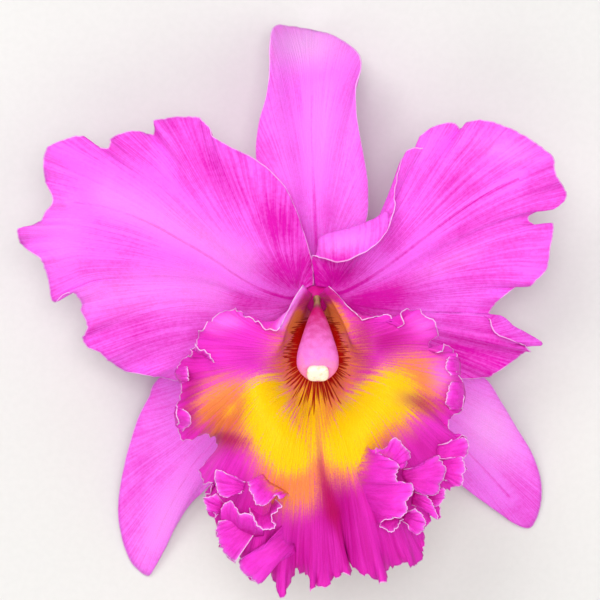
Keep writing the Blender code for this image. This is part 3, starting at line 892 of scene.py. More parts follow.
PETAL_LEFT_MARGIN = [
    (314, 285, -0.7), (313, 268, 0.3), (310, 252, 1.2), (301, 224, 3), (291.5, 199, 5),
    (280, 180, 7), (257, 160, 8), (231.5, 147, 9), (212.5, 136, 10), (206, 125, 9.5),
    (198, 117, 8), (179, 116.5, 5), (165, 118, 7), (153.5, 121, 9), (155, 132, 6),
    (150, 134, 4.5), (135, 130.5, 7), (118, 134, 5), (109.5, 139, 6), (108.5, 147, 8),
    (101, 148, 7), (90.5, 143, 5), (81, 136, 8), (69.5, 137.5, 7), (50.5, 145, 5),
    (45, 151.5, 6), (43, 163, 10), (45, 182, 6), (52, 200, 8), (45, 211.5, 6),
    (39, 223, 4), (21, 227, 8), (17, 232.5, 7), (22, 245, 3), (38, 257, 6),
    (44, 268, 4), (48.5, 283, 1), (50.5, 298, -1), (55, 302.5, -2), (63, 295.5, 0),
    (72.5, 293, 1), (81, 302, -2), (81, 310.5, -3), (87, 327, -1), (82, 338, -5),
    (87, 347, -4), (99, 352.5, -3), (111.5, 363, -6), (126, 371.5, -8), (147, 375.5, -5),
    (168, 379, -9), (190, 382, -8), (225, 378, -7), (262, 360, -5), (285, 332, -3),
]
PETAL_LEFT_MIDRIB = [
    (301.5, 297, -1), (283, 297, 0.5), (248, 283, 2.5), (211, 258, 4), (179, 239, 5),
    (147, 222, 6), (105, 207, 6.5), (75, 202, 7),
]
PETAL_RIGHT_MARGIN = [
    (316, 286, 1), (313.5, 270, 3.5), (312, 255, 6), (321, 258, 8), (338, 262.5, 10),
    (356, 257, 11), (373, 247, 11.5), (386, 233, 11), (394, 213, 10), (395, 196, 8.5),
    (396, 181, 8.5), (402.5, 159, 7.5), (407, 150.5, 8), (415, 147.5, 7), (424.5, 147, 5),
    (426, 144, 3.5), (422, 139, 5), (421, 135, 6), (432, 127.5, 6), (447, 122.5, 7.5),
    (456, 124, 6), (460.5, 129.5, 4), (466.5, 124, 6), (476, 120, 9), (491, 121, 8),
    (510.5, 128.5, 6), (529.5, 138, 9), (543, 148, 6), (553.5, 157.5, 6), (555.5, 172.5, 9),
    (561, 182, 7), (566, 192, 5), (566, 198.5, 6), (556.5, 208, 6), (541, 209.5, 4.5),
    (530, 216, 4), (531, 223, 3.5), (541, 225, 4), (552.5, 223.5, 4.5), (553.5, 234, 5),
    (550.5, 249, 6), (547, 268.5, 3), (537, 280, 4), (529.5, 285.5, 2), (518, 286.5, 0),
    (503, 297, 2), (494, 306.5, 0), (489, 314, -1), (490, 322, 2), (495, 332, 3),
    (506, 338.5, 3), (520, 343.5, 2), (531, 351, -2), (523, 353, -6), (512, 362, -8),
    (499, 371.5, -6), (483.5, 377.5, -9), (459, 378.5, -8), (420, 372, -7), (385, 352, -5),
    (355, 328, -3),
]
PETAL_RIGHT_MIDRIB = [
    (332, 295, -1), (346, 291, 1), (367, 280, 3), (392, 263, 4), (419, 242, 5),
    (445, 222, 6), (472, 203, 7), (499, 188, 8), (518, 179, 8),
]
PETAL_RIGHT_FOLDS = {
    3: (321, 241, 5), 4: (338, 235, 6), 5: (356, 229, 7), 6: (372, 222, 8),
    7: (385, 214, 9), 48: (499, 316, -0.5), 49: (511, 325.5, -0.5), 50: (525, 333.5, -1),
    51: (538, 344, -2),
}
DORSAL_MARGIN = [
    (300, 268, -3.3), (284, 230, -4), (267, 195, -4.5), (256, 160, -4), (258, 125, -3),
    (266, 96, -3), (269, 72, -4), (269, 50, -6), (271, 32, -10), (277, 25, -17),
    (289, 26, -26), (312, 30, -34), (330, 34, -27), (347, 43, -18), (359, 54, -10),
    (361, 67, -6), (357, 82, -4), (356, 105, -3), (359, 130, -3), (364, 157, -4),
    (368, 185, -4.5), (366, 222, -4), (346, 260, -3.3),
]
DORSAL_MIDRIB = [
    (317, 291, -3), (316, 240, -3.6), (314, 190, -4), (312, 140, -3.4), (312, 90, -3),
    (311, 56, -4), (311, 31, -8), (311, 25, -15), (311, 26, -24),
]
SEPAL_LEFT_MARGIN = [
    (280, 319, -5.5), (238, 335, -10), (192, 354, -14.5), (157, 380, -18),
    (148, 398, -20), (137, 420, -22), (127, 453, -25), (120, 486, -28), (118, 514, -30),
    (122, 539, -32), (131, 562, -33.3), (147, 576, -34), (155, 567, -33), (163, 551, -32),
    (172, 532, -31), (186, 509, -29), (204, 491, -27), (235, 462, -22.5), (262, 425, -17.5),
    (283, 385, -12.5), (300, 345, -7.5),
]
SEPAL_LEFT_MIDRIB = [
    (308, 313, -3), (282, 347, -8), (248, 395, -15), (216, 438, -21), (190, 470, -25),
    (170, 506, -29.5), (155, 540, -32),
]
SEPAL_RIGHT_MARGIN = [
    (356, 317, -6), (402, 334, -11.5), (445, 352, -16.5), (485, 378, -21),
    (501, 401, -24), (517, 428, -27), (532, 453, -29.5), (541, 480, -31.3),
    (541, 503, -32.7), (536, 520, -33.5), (529, 528, -34), (515, 524, -33),
    (495, 510, -31.5), (470, 492, -29), (440, 468, -25), (405, 433, -19.5),
    (372, 393, -13.5), (342, 350, -8),
]
SEPAL_RIGHT_MIDRIB = [
    (327, 312, -3), (350, 336, -7), (398, 384, -15), (450, 434, -22.5), (487, 473, -28),
    (510, 498, -31.5),
]
LIP_THROAT = (317, 350, 15)
LIP_LEFT_LOBE = [
    (303, 285, 15), (296, 295, 17), (290, 306, 19), (284, 318, 21.5), (278.5, 330.5, 24),
    (272, 331, 24.5), (265, 327, 25.5), (256, 319.5, 25), (246, 318.5, 23.5), (242, 314, 22),
    (236, 310.5, 22.5), (226, 311.5, 20.5), (215, 317, 22.5), (206.5, 324.5, 24.5),
    (198, 332, 22), (196, 342, 24), (193, 350, 29), (190, 357, 24), (183, 359.5, 20),
    (178, 367, 22), (176, 374, 24), (181, 380, 23), (182.5, 388, 25), (180, 396, 28),
    (176.5, 405, 31), (175, 415, 32), (176.5, 421, 31), (178, 427, 27), (178.5, 434, 24),
    (182, 441, 24), (188, 440.5, 23), (198, 436.5, 20), (208, 434.5, 17), (215, 436, 15),
    (219, 443, 14), (221, 451, 15), (214, 458, 17), (206, 463.5, 19), (201, 470, 20),
    (201, 478, 22),
]
LIP_LEFT_FOLDS = [
    (204, 484, 24), (211, 481, 27), (213, 490, 28), (205, 499, 25), (208, 512, 23),
    (216, 522, 25),
]
LIP_FRONT_LOBE = [
    (216, 531, 24), (219.5, 544, 23), (226, 555.5, 26), (235.5, 562.5, 27), (242, 552, 23),
    (245, 558, 23), (241, 566, 24), (247, 575, 26), (252.5, 580, 26), (258.5, 584.5, 27),
    (262.5, 576, 23), (268, 570.5, 20), (273, 581, 23), (276, 591, 25), (282, 597.8, 26),
    (286.5, 589, 24), (292, 575, 21), (297, 566, 19), (301, 573, 20), (307, 577, 23),
    (309.5, 587, 25), (311.5, 592, 26), (314, 582, 22), (318, 584, 21), (325, 587.5, 24),
    (331, 583, 22), (332, 577, 20), (338, 578.5, 23), (340, 572, 21), (346, 575, 24),
    (352, 574.5, 22), (347, 565, 20), (342.5, 557, 19), (342, 547, 19), (345, 555, 20),
    (350, 564.5, 22), (358, 570, 24), (365.5, 577, 27), (368, 574, 25), (376, 580.5, 24),
    (384.5, 583.5, 27), (386, 575, 23), (389, 566, 20), (393, 564.5, 19), (401.5, 565, 22),
    (405, 562, 22), (410.5, 568.5, 26), (414, 565.5, 23), (419, 563.5, 21), (421, 554, 19),
    (424.5, 545.5, 22), (423, 537, 20), (426, 526.5, 22), (430.5, 522.5, 24),
]
LIP_RIGHT_FOLDS = [
    (430, 513, 20), (438, 519, 24), (441, 503, 27), (446, 490, 23), (457, 485, 26),
    (464, 468, 22), (463, 457, 26), (468, 445, 21), (462, 437, 25),
]
LIP_RIGHT_LOBE = [
    (454, 439, 21), (446, 431, 23), (448.5, 424, 24), (448, 416, 22), (453, 415, 22),
    (457, 415, 23), (461, 411, 21), (464, 399, 25), (464, 394, 24), (462, 388, 21),
    (464, 383, 21), (459, 376, 24), (456, 366, 26), (456.5, 358, 24), (453, 350, 21),
    (448.5, 345.5, 22), (444.5, 344.5, 23), (443, 351, 26), (438.5, 353.5, 27), (434, 348.5, 25),
    (430, 343, 22), (436.5, 335, 21), (438.5, 331, 22), (437, 325.5, 24), (431, 320.5, 25),
    (425.5, 316, 24), (420.5, 310.5, 22), (413, 309, 21), (406.5, 308.5, 23), (403.5, 312.5, 25),
    (404, 320, 26), (403, 326, 25), (399.5, 327.5, 24), (396, 325, 23), (394, 320, 24),
    (387, 314.5, 24), (375, 317, 23), (363, 319.5, 23), (358, 315, 22), (350, 308, 21),
    (343, 301, 18), (336, 293, 16), (329, 286, 15),
]
LIP_MARGIN = LIP_LEFT_LOBE + LIP_LEFT_FOLDS + LIP_FRONT_LOBE + LIP_RIGHT_FOLDS + LIP_RIGHT_LOBE

# Rings of the lip inside its margin, each from the left free edge round below to the right one
LIP_CLAW = [
    (311.5, 294, 0.35), (306, 303, 0.35), (309, 311, 0.35), (317, 313, 0.35),
    (325, 311, 0.35), (328, 303, 0.35), (322.5, 294, 0.35),
]
LIP_TUBE = [
    (311.5, 293.5, 7), (303, 312, 8), (300, 330, 9), (305, 347, 10), (317, 353, 10),
    (329, 347, 10), (334, 330, 9), (331, 312, 8), (320, 293.5, 7),
]
LIP_MOUTH = [
    (308.5, 291, 12), (291, 318, 15), (285, 345, 17), (288, 372, 18), (300, 390, 18),
    (317, 396, 18), (334, 390, 18), (346, 372, 18), (349, 345, 17), (343, 318, 15),
    (323.5, 291, 12),
]
LIP_FLARE = [
    (305, 287.5, 14), (289, 315, 18), (273, 343, 23), (254, 367, 29), (255, 395, 32),
    (277, 438, 36), (320, 458, 32), (363, 437, 36), (388, 397, 32), (385, 365, 29),
    (359, 339, 23), (343, 316, 18), (326.5, 287.5, 14),
]
LIP_RING_PLACES = (0.0, 0.17, 0.34, 0.60, 1.0)  # claw, tube, mouth, flare, margin
LIP_MARGIN_BLUR = 18.0  # millimetres


@dataclass(frozen=True)
class Frill:
    """A fold of the lip's edge that stands up from it, between the line it grows from and its rim."""

    name: str
    root: Sequence[Knot]
    rim: Sequence[Knot]
    cup: float = 0.0  # mm that its middle stands proud of a straight wall
    painted_root_shade: float = 0.6  # how much painted shade darkens it at its root
    free_sides: bool = True
    crisp_height: float = 0.42
    columns: int = 60
    rows: int = 12
    lane_width: float = 0.6  # metres of margin that the lip's whole fan of veins takes up

    def skin(self, seed: float) -> Skin:
        """Its grid of points, from the root to the rim."""
        root = evenly_along(sighted(self.root), self.columns)
        rim = evenly_along(sighted(self.rim), self.columns)
        share = np.linspace(0, 1, self.rows)[:, None, None]
        places = root * (1 - share) + rim * share
        places[..., 2] += self.cup * MM * np.sin(math.pi * share[..., 0])
        made = Skin(
            places,
            crisp_spacing=2.7,
            crisp_height=self.crisp_height,
            crisp_reach=4.0,
            tooth_spacing=1.6,
            tooth_depth=0.26,
            seed=seed,
        )
        made.crisp()
        return made

    def build(self, seed: float, thickness: float, marks: dict[str, Any]) -> bpy.types.Object:
        """Make the frill as a wall of its own, to be joined to the lip.

        Args:
            seed: Tells its unevenness from that of the other frills.
            thickness: Of its wall.
            marks: The lip's own marks of pigment, by name, which fade out along the frill.

        Returns:
            The new object, which carries the same values as the lip.
        """
        skin = self.skin(seed)
        edge = skin.edge_distance()
        # Free sides count as margin: the wall thins there and they take the painted rim highlight
        if self.free_sides:
            steps = lengths(np.diff(skin.places, axis=1))[..., 0] / MM
            from_first = np.concatenate([np.zeros((self.rows, 1)), np.cumsum(steps, axis=1)], axis=1)
            to_last = from_first[:, -1:] - from_first
            edge = np.minimum(edge, np.minimum(from_first, to_last))
        share = np.linspace(0, 1, self.rows)[:, None]
        nothing = np.zeros(edge.shape)
        seen = seen_at(skin.places)
        values = {name: pigment(own, seen) * (1 - share) ** 2 for name, own in marks.items()}
        values.update(throat=nothing, ray=nothing, edge_mm=edge)
        # Painted shade at the root, where the frill rises from the lip, over the lip's own marks
        values["deep"] = np.maximum(values["deep"] * 0.8, self.painted_root_shade * (1 - share) ** 2)
        # Paler towards the rim and palest at it: painted light on the frill and a painted highlight
        # along its edge
        values["pale"] = share * (0.1 + 0.45 * np.exp(-((edge / 1.1) ** 2)))
        made = skin.mesh("frill_" + self.name, thickness, values)
        width = lengths(np.diff(skin.places[-1], axis=0)).sum()
        lanes = made.data.uv_layers["UVMap"].uv
        table = np.empty(2 * len(lanes), np.float32)
        lanes.foreach_get("vector", table)
        table[0::2] *= width / self.lane_width
        lanes.foreach_set("vector", table)
        return made


LIP_FRILLS = [
    Frill(
        "left_flap",
        [(246, 482, 35), (245, 486, 34), (243, 491, 33)],
        [(244, 482, 36), (231, 475, 37), (216, 470, 37), (214.5, 479, 36), (216, 489, 35),
         (220, 495, 34), (224, 497, 34), (233, 495.5, 34), (242, 492, 34)],
        cup=0.5,
        painted_root_shade=0.2,
    ),
    Frill(
        "left_crest",
        [(262, 474, 35), (269, 482, 34.5), (278, 487, 34), (288, 494, 32.5)],
        [(247, 481, 38), (250, 490, 39.5), (253.5, 499, 40), (259, 506, 39.5), (264.5, 505.5, 39),
         (271, 500.5, 39), (275.5, 495, 39), (280, 497, 37)],
        cup=1.6,
        painted_root_shade=0.0,
        free_sides=False,
    ),
    Frill(
        "left_pocket",
        [(249, 508, 31), (256, 512, 30.5), (262, 513, 30.5), (268, 510, 31), (272, 504, 32),
         (275, 499, 34)],
        [(249, 513.5, 36), (254, 518, 36), (258, 525.5, 36.5), (262, 529, 36.5), (271, 530, 36.5),
         (276, 526, 37), (271, 520, 37), (275, 512.5, 38), (281, 505, 38.5)],
        cup=-1.0,
        painted_root_shade=0.8,
    ),
    Frill(
        "left_wall",
        [(221, 524, 28), (232, 530, 28), (243, 534, 28.5), (254, 536, 29), (264, 535, 29.5)],
        [(221, 509, 33), (226, 502, 34), (233, 502, 35), (236, 508, 35), (239.5, 513, 35.5),
         (249, 513.5, 36), (254, 518, 36), (258, 525.5, 36.5), (262, 529, 36.5)],
        cup=1.2,
        painted_root_shade=0.9,
        free_sides=False,
    ),
    Frill(
        "left_ear",
        [(224, 503, 31), (222, 509, 31), (219, 514, 30)],
        [(217, 494.5, 33), (207.5, 496.5, 33), (202.7, 498.5, 32.5), (205.5, 505.5, 32),
         (208, 510, 31), (212.5, 511, 31), (214, 519, 30)],
        cup=0.6,
    ),
    Frill(
        "lower_left_fan",
        [(243, 514, 29.5), (251, 520, 29.5), (259, 527, 29)],
        [(219, 521, 30), (216, 531, 30), (219, 543, 29), (226, 555, 28.5), (235, 562.5, 28)],
        cup=1.5,
        painted_root_shade=1.0,
    ),
    Frill(
        "lower_fan",
        [(287, 520, 29), (292, 535, 27.5), (296, 552, 25)],
        [(262, 549, 29), (250, 556, 28), (239, 559, 27.5), (241, 569, 27.5), (247, 575, 28),
         (252, 580, 28), (258.6, 585, 27), (266, 572, 26), (277, 561, 25)],
        cup=1.8,
        painted_root_shade=0.6,
        free_sides=False,
    ),
    Frill(
        "right_flap",
        [(376, 451, 41.5), (383, 455, 42), (392, 459, 42), (398, 462.5, 42), (399, 469, 41)],
        [(376, 450.5, 41.5), (385, 447.5, 43), (390, 443, 43.5), (394, 438.5, 43.5),
         (398, 438.5, 43.5), (403.5, 445, 43), (408.5, 452, 42), (408, 462.5, 41), (403.5, 469.5, 40)],
        cup=1.0,
        painted_root_shade=0.1,
    ),
    Frill(
        "right_dome",
        [(366, 446, 35), (360, 458, 34.5), (356, 470, 33.8), (357, 482, 32.6), (361, 492, 31.6),
         (366, 502, 30.6), (371, 510, 29.6), (375, 517, 29), (378, 523, 28.6)],
        [(376, 451, 41), (383, 455, 42), (392, 459, 42), (397.7, 462.5, 42), (399, 468, 41.5),
         (396, 476, 40), (401, 483, 39.5), (411, 482.5, 39), (414, 489, 38.5), (409, 499, 38),
         (406, 502, 38), (408, 508, 38), (405, 514, 38), (400, 518, 38), (393, 517.5, 37.5),
         (386.5, 518.5, 37), (381, 522, 36.5)],
        cup=2.2,
        painted_root_shade=0.5,
        free_sides=False,
        columns=110,
        rows=26,
    ),
    Frill(
        "right_roll",
        [(381, 522, 35), (386, 519.5, 34), (393, 518.5, 34), (400, 518.5, 35)],
        [(380, 526, 33), (385, 530.5, 33), (391.5, 532.5, 33), (396.5, 527, 34), (403, 519, 36)],
        cup=-2.0,
        painted_root_shade=1.0,
    ),
    Frill(
        "right_fan",
        [(403.5, 469, 37), (402, 473, 37), (403, 478, 36.5), (410, 484, 36.5)],
        [(415, 467, 37.5), (425, 464, 37.5), (433, 458, 37.5), (438.5, 455.5, 37), (440, 459, 37),
         (445, 467, 36), (446, 473, 36), (441, 482, 35.5), (439, 491, 35), (436.5, 494.5, 35),
         (425, 494, 35), (415, 490, 36)],
        cup=1.2,
        painted_root_shade=0.7,
        columns=80,
    ),
    Frill(
        "upper_right_fan",
        [(438, 445, 29), (437, 451, 29), (438, 459, 29)],
        [(451, 441, 31), (463, 437.5, 31), (467.5, 441, 30.5), (468, 447.5, 30), (466.5, 457, 29.5),
         (453, 459, 29.5)],
        cup=0.8,
        painted_root_shade=0.2,
    ),
    Frill(
        "outer_right_fan",
        [(441, 459, 28), (440, 468, 28), (442, 478, 28)],
        [(452, 458, 31), (462, 457, 31.5), (465, 466, 31), (463, 474, 30.5), (463, 481, 30),
         (457.5, 487, 29), (448, 481, 29)],
        cup=0.8,
        painted_root_shade=0.5,
    ),
    Frill(
        "lower_right_fan",
        [(424, 492, 29), (424, 498, 28.5), (426, 505, 28)],
        [(440, 487, 31), (445, 489, 31), (445, 498, 30.5), (442, 502.5, 30), (436.5, 506, 29.5)],
        cup=0.5,
        painted_root_shade=1.0,
    ),
    Frill(
        "right_spike",
        [(415, 492, 32), (412, 498, 31.5), (412, 505, 31)],
        [(426, 495, 34), (433, 504, 33.5), (438.5, 520, 32), (431, 514, 32.5), (424, 509, 32.5)],
        cup=0.5,
        painted_root_shade=0.9,
    ),
    Frill(
        "right_tab",
        [(407, 511, 32), (404, 516, 31.5), (402, 521, 31)],
        [(415, 508, 35), (421, 513, 35), (425.5, 519, 34), (424.5, 526, 33), (420, 534, 32),
         (412, 529, 32)],
        cup=1.0,
        painted_root_shade=0.7,
    ),
    Frill(
        "right_lobe_fold",
        [(463, 383, 21.5), (465, 393, 23), (464, 402, 23), (461, 409, 21.5)],
        [(452, 381, 26), (447.5, 391, 28), (445.5, 402.5, 28), (450, 409, 25)],
        cup=1.4,
        painted_root_shade=0.1,
        free_sides=False,
        columns=30,
        rows=8,
    ),
    Frill(
        "right_lobe_pleat",
        [(458, 357, 22.5), (460, 366, 24), (460, 375, 23)],
        [(449, 356, 26), (446, 364, 28), (449, 375, 27)],
        cup=1.0,
        painted_root_shade=0.1,
        free_sides=False,
        columns=30,
        rows=8,
    ),
    Frill(
        "left_edge_fold",
        [(175.5, 407, 30.5), (174.5, 415, 31.5), (176.5, 425, 27.5)],
        [(184, 409, 34), (191, 417, 34.5), (190, 425, 32), (183, 430, 28)],
        cup=0.8,
        painted_root_shade=0.1,
        free_sides=False,
        columns=30,
        rows=8,
    ),
    Frill(
        "left_upper_pleat",
        [(178, 366, 21), (175.5, 374, 23), (180, 383, 22)],
        [(187, 366, 26), (189, 374, 28), (187, 384, 26)],
        cup=0.8,
        painted_root_shade=0.1,
        free_sides=False,
        columns=30,
        rows=8,
    ),
    Frill(
        "left_lobe_curl",
        [(195, 352, 27), (203, 355, 27.5), (211, 361, 28)],
        [(194, 345, 30), (203, 350, 32), (212, 356, 33), (214.5, 363, 31)],
        cup=0.6,
        painted_root_shade=0.3,
        columns=30,
        rows=8,
    ),
]


@dataclass
class Lip:
    """The lip: a tube round the column that opens into side lobes and a ruffled front lobe."""

    node: str = "lip"
    thickness: float = 0.60 * MM
    frill_thickness: float = 0.45 * MM
    columns: int = 480
    rows: int = 70
    calming: float = 0.62  # below 1, the waves of the margin end nearer to it
    column_line: tuple[Pixel, Pixel] = ((316.5, 300), (316.5, 357))  # the throat's lines leave it
    column_rows: Sequence[float] = (300, 310, 325, 340, 355, 372)
    column_reach: Sequence[float] = (2, 4, 10.5, 15.5, 20, 20.5)  # half its width at those rows
    line_reach: float = 17.0  # pixels from the column to the ends of the lines at its sides
    line_drop: float = 26.0  # how much further they reach below
    line_start: float = 311.0  # the row above which there are none
    line_whole: float = 331.0  # the row from which they are as dark as they get
    stain_rows: tuple[float, float] = (352.0, 336.0)  # between these the lines run together
    stain_reach: float = 9.5  # pixels
    yellow: Sequence[Patch | Stroke] = ()
    orange: Sequence[Patch | Stroke] = ()
    groove: Sequence[Patch | Stroke] = ()
    deep: Sequence[Patch | Stroke] = ()
    pale: Sequence[Patch | Stroke] = ()
    frills: Sequence[Frill] = ()

    def rays(self, seen: np.ndarray) -> tuple[np.ndarray, np.ndarray]:
        """Where each point is among the throat's lines.

        Args:
            seen: The column and row of each point.

        Returns:
            How far round the column it is, in pixels, and how dark the lines are there, from
            0 at their ends to 1 at the column, and more where they run together.
        """
        top, end = (np.array(point, float) for point in self.column_line)
        row = np.clip(seen[..., 1], top[1], end[1])
        away = np.stack([seen[..., 0] - top[0], seen[..., 1] - row], axis=-1)
        turn = np.arctan2(away[..., 0], away[..., 1])
        round_end = 20.0 * turn
        round_side = np.sign(turn) * (end[1] - row)
        down = np.clip(np.cos(turn), 0, 1)
        gap = lengths(away)[..., 0] - np.interp(seen[..., 1], self.column_rows, self.column_reach)
        gap = np.maximum(gap, 0)
        dark = np.clip(1 - gap / (self.line_reach + self.line_drop * down**3), 0, 1)
        late, early = self.stain_rows
        stain = np.exp(-((gap / self.stain_reach) ** 4)) * smooth_step(
            (late - seen[..., 1]) / (late - early)
        )
        dark = dark**0.65
        start = (seen[..., 1] - self.line_start) / (self.line_whole - self.line_start)
        return round_end + round_side, (dark * (1 - 0.2 * down) + 0.3 * stain) * smooth_step(start)

    def bend(self) -> np.ndarray:
        """The rows of points: claw, tube round the column, mouth of the throat, margin."""
        stations = sighted(LIP_MARGIN)
        margin = evenly_along(stations, self.columns)
        per_mm = (self.columns - 1) * MM / lengths(np.diff(margin, axis=0)).sum()
        calm = blurred(margin, 20.0 * per_mm)
        throat = sighted([LIP_THROAT])[0]
        angle = np.unwrap(np.arctan2(calm[:, 1] - throat[1], calm[:, 0] - throat[0]))
        sweep = np.maximum.accumulate((angle - angle[0]) / (angle[-1] - angle[0]))
        sweep = blurred_values(sweep, 12.0 * per_mm) * 0.72
        sweep = sweep + np.linspace(0, 1, len(sweep)) * 0.28
        tables = (LIP_CLAW, LIP_TUBE, LIP_MOUTH, LIP_FLARE)
        rings = [spline(sighted(table), sweep * (len(table) - 1)) for table in tables]
        rows = []
        for k in range(self.rows):
            t = k / (self.rows - 1)
            width = LIP_MARGIN_BLUR * per_mm * (1 - t) ** self.calming
            path = rings + [blurred(margin, width)]
            place = float(np.interp(t, LIP_RING_PLACES, range(len(path))))
            lower = min(int(place), len(path) - 2)
            a, d = path[max(lower - 1, 0)], path[min(lower + 2, len(path) - 1)]
            rows.append(catmull(a, path[lower], path[lower + 1], d, place - lower))
        return np.stack(rows)

    def build(self, material: bpy.types.Material) -> bpy.types.Object:
        """Make the lip.

        Args:
            material: Its finish.

        Returns:
            The piece, riding in place of its node.
        """
        skin = Skin(
            self.bend(),
            crisp_spacing=4.2,
            crisp_height=0.75,
            crisp_reach=5.0,
            tooth_spacing=2.0,
            tooth_depth=0.34,
            calm_ends=34.0,
            seed=11.0,
        )
        skin.crisp()
        seen = seen_at(skin.places)
        ray, inward = self.rays(seen)
        values = {
            "edge_mm": skin.edge_distance(),
            "yellow": pigment(self.yellow, seen),
            "orange": pigment(self.orange, seen),
            "throat": inward,
            "ray": ray,
            "groove": pigment(self.groove, seen),
            "deep": pigment(self.deep, seen),
            "pale": pigment(self.pale, seen),
        }
        piece = skin.mesh("lip_tissue", self.thickness, values)
        marks = {
            "yellow": self.yellow,
            "orange": self.orange,
            "groove": self.groove,
            "deep": self.deep,
        }
        walls = [
            frill.build(20.0 + k, self.frill_thickness, marks)
            for k, frill in enumerate(self.frills)
        ]
        begin()
        for wall in walls:
            wall.select_set(True)
        piece.select_set(True)
        bpy.context.view_layer.objects.active = piece
        bpy.ops.object.join()
        settle(piece, Slot.LIP, material, self.node)
        return piece


@dataclass
class Loft:
    """A round body through stations, made from a sphere whose rings move to the stations."""

    centres: np.ndarray
    across: np.ndarray
    up: np.ndarray
    segments: int = 64
    rings: int = 60

    def mesh(self, name: str, wave: Any = None) -> bpy.types.Object:
        """Make the body.

        Args:
            name: The piece's name.
            wave: For each angle and share of the way, what its radius is multiplied by.

        Returns:
            The new object, which carries its share of the way at each point.
        """
        begin()
        bpy.ops.mesh.primitive_uv_sphere_add(
            segments=self.segments, ring_count=self.rings, radius=1.0
        )
        piece = bpy.context.object
        piece.name = piece.data.name = name
        ball = np.array([vertex.co for vertex in piece.data.vertices])
        polar = np.arccos(np.clip(-ball[:, 2], -1, 1)) / math.pi
        turn = np.arctan2(ball[:, 1], ball[:, 0])
        cap = 1.0 / self.rings
        share = np.clip((polar - cap) / (1 - 2 * cap), 0, 1)
        places = share * (len(self.centres) - 1)
        centre = spline(self.centres, places)
        radius = (np.abs(ball[:, 2]) < 1 - 1e-6).astype(float)
        if wave is not None:
            radius = radius * wave(turn, share)
        across = spline(self.across, places) * (np.cos(turn) * radius)[:, None]
        up = spline(self.up, places) * (np.sin(turn) * radius)[:, None]
        piece.data.vertices.foreach_set("co", (centre + across + up).ravel().astype(np.float32))
        carry(piece.data, {"share": share, "turn": turn})
        return piece


def square_axes(travel: np.ndarray) -> tuple[np.ndarray, np.ndarray]:
    """Unit axes across and up, square to each direction of travel in the plane of symmetry."""
    travel = travel / lengths(travel)
    across = np.tile([1.0, 0.0, 0.0], (len(travel), 1))
    return across, np.cross(travel, across)


# The column, from its base to its end: (across, up, height) of its middle and half width and
# half depth there, in millimetres from the base of the column
COLUMN = [
    (0, 0.3, 0.0, 1.2, 1.2), (0, -0.6, 4.0, 0.9, 1.0), (0, -2.4, 9.0, 1.2, 1.2),
    (0, -4.2, 11.9, 2.1, 1.8), (0, -6.9, 14.9, 3.2, 2.4), (0, -11.0, 18.8, 4.6, 3.0),
    (0, -15.5, 21.8, 5.9, 3.6), (0, -18.8, 23.8, 6.0, 3.6), (0, -20.6, 25.0, 5.1, 3.2),
    (0, -21.2, 25.5, 4.1, 2.9),
]
COLUMN_AIM = (0.0, -0.6, 0.8)  # the way its end faces


@dataclass
class Column:
    """The column: slender at its base, swelling to shoulders, with the stigma's dent below."""

    node: str = "column"
    dent_depth: float = 0.35
    dent_at: float = 0.80

    def build(self, material: bpy.types.Material) -> bpy.types.Object:
        """Make the column in place of its node."""
        table = np.array(COLUMN, float) * MM
        centres = table[:, :3] + BASE
        travel = np.gradient(centres, axis=0)
        travel[0] = (0.0, 0.0, 1.0)
        travel[-1] = COLUMN_AIM
        across, up = square_axes(travel)
        loft = Loft(centres, across * table[:, 3:4], up * table[:, 4:5])

        def wave(turn: np.ndarray, share: np.ndarray) -> np.ndarray:
            """The radius, less the dent on the underside."""
            under = np.exp(-((turn + math.pi / 2) / 0.55) ** 2)
            near = np.exp(-((share - self.dent_at) / 0.08) ** 2)
            return 1 - self.dent_depth * under * near

        piece = loft.mesh("column_body", wave)
        settle(piece, Slot.COLUMN, material, self.node)
        return piece


@dataclass
class AntherCap:
    """The cap over the pollen: a rounded ivory block with a shallow furrow down its middle."""

    node: str = "anther_cap"
    half_width: float = 3.2 * MM
    half_depth: float = 2.6 * MM
    height: float = 2.6 * MM
    slide: float = 0.9 * MM  # towards the bloom's top, on the column's end

    def build(self, material: bpy.types.Material) -> bpy.types.Object:
        """Make the cap in place of its node."""
        low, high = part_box(self.node)
        aim = np.array(COLUMN_AIM)
        across, up = square_axes(aim[None, :])
        middle = np.array((low + high) / 2) + up[0] * self.slide
        begin()
        bpy.ops.mesh.primitive_cube_add(size=2.0)
        piece = bpy.context.object
        piece.name = piece.data.name = "anther_cap_body"
        bpy.ops.object.mode_set(mode="EDIT")
        bpy.ops.mesh.select_all(action="SELECT")
        bpy.ops.mesh.subdivide(number_cuts=5)
        bpy.ops.object.mode_set(mode="OBJECT")
        cube = np.array([vertex.co for vertex in piece.data.vertices])
        power = 3.2
        round_radius = (np.abs(cube) ** power).sum(axis=1) ** (1 / power)
        block = cube / round_radius[:, None]
        furrow = np.exp(-((block[:, 0] / 0.16) ** 2)) * np.clip(block[:, 2], 0, 1)
        block[:, 2] -= 0.22 * furrow
        block[:, 1] -= 0.10 * np.exp(-((block[:, 0] / 0.2) ** 2)) * np.sign(block[:, 1])
        places = (
            middle
            + block[:, :1] * across * self.half_width
            + block[:, 1:2] * up * self.half_depth
            + block[:, 2:] * aim * self.height / 2
        )
        piece.data.vertices.foreach_set("co", places.ravel().astype(np.float32))
        smooth = piece.modifiers.new("smooth", "SUBSURF")
        smooth.levels = smooth.render_levels = 2
        bpy.ops.object.modifier_apply(modifier=smooth.name)
        settle(piece, Slot.CAP, material, self.node)
        return piece


# The ovary and its stalk, from the receptacle down, as (across, up, height) in millimetres
STEM_ROUTE = [
    (0, 0, -8), (0, -1.5, -13), (0, -5.5, -19.5), (0, -14, -25.5), (0, -25, -29),
    (0, -37, -30.8), (0, -50, -31.3),
]


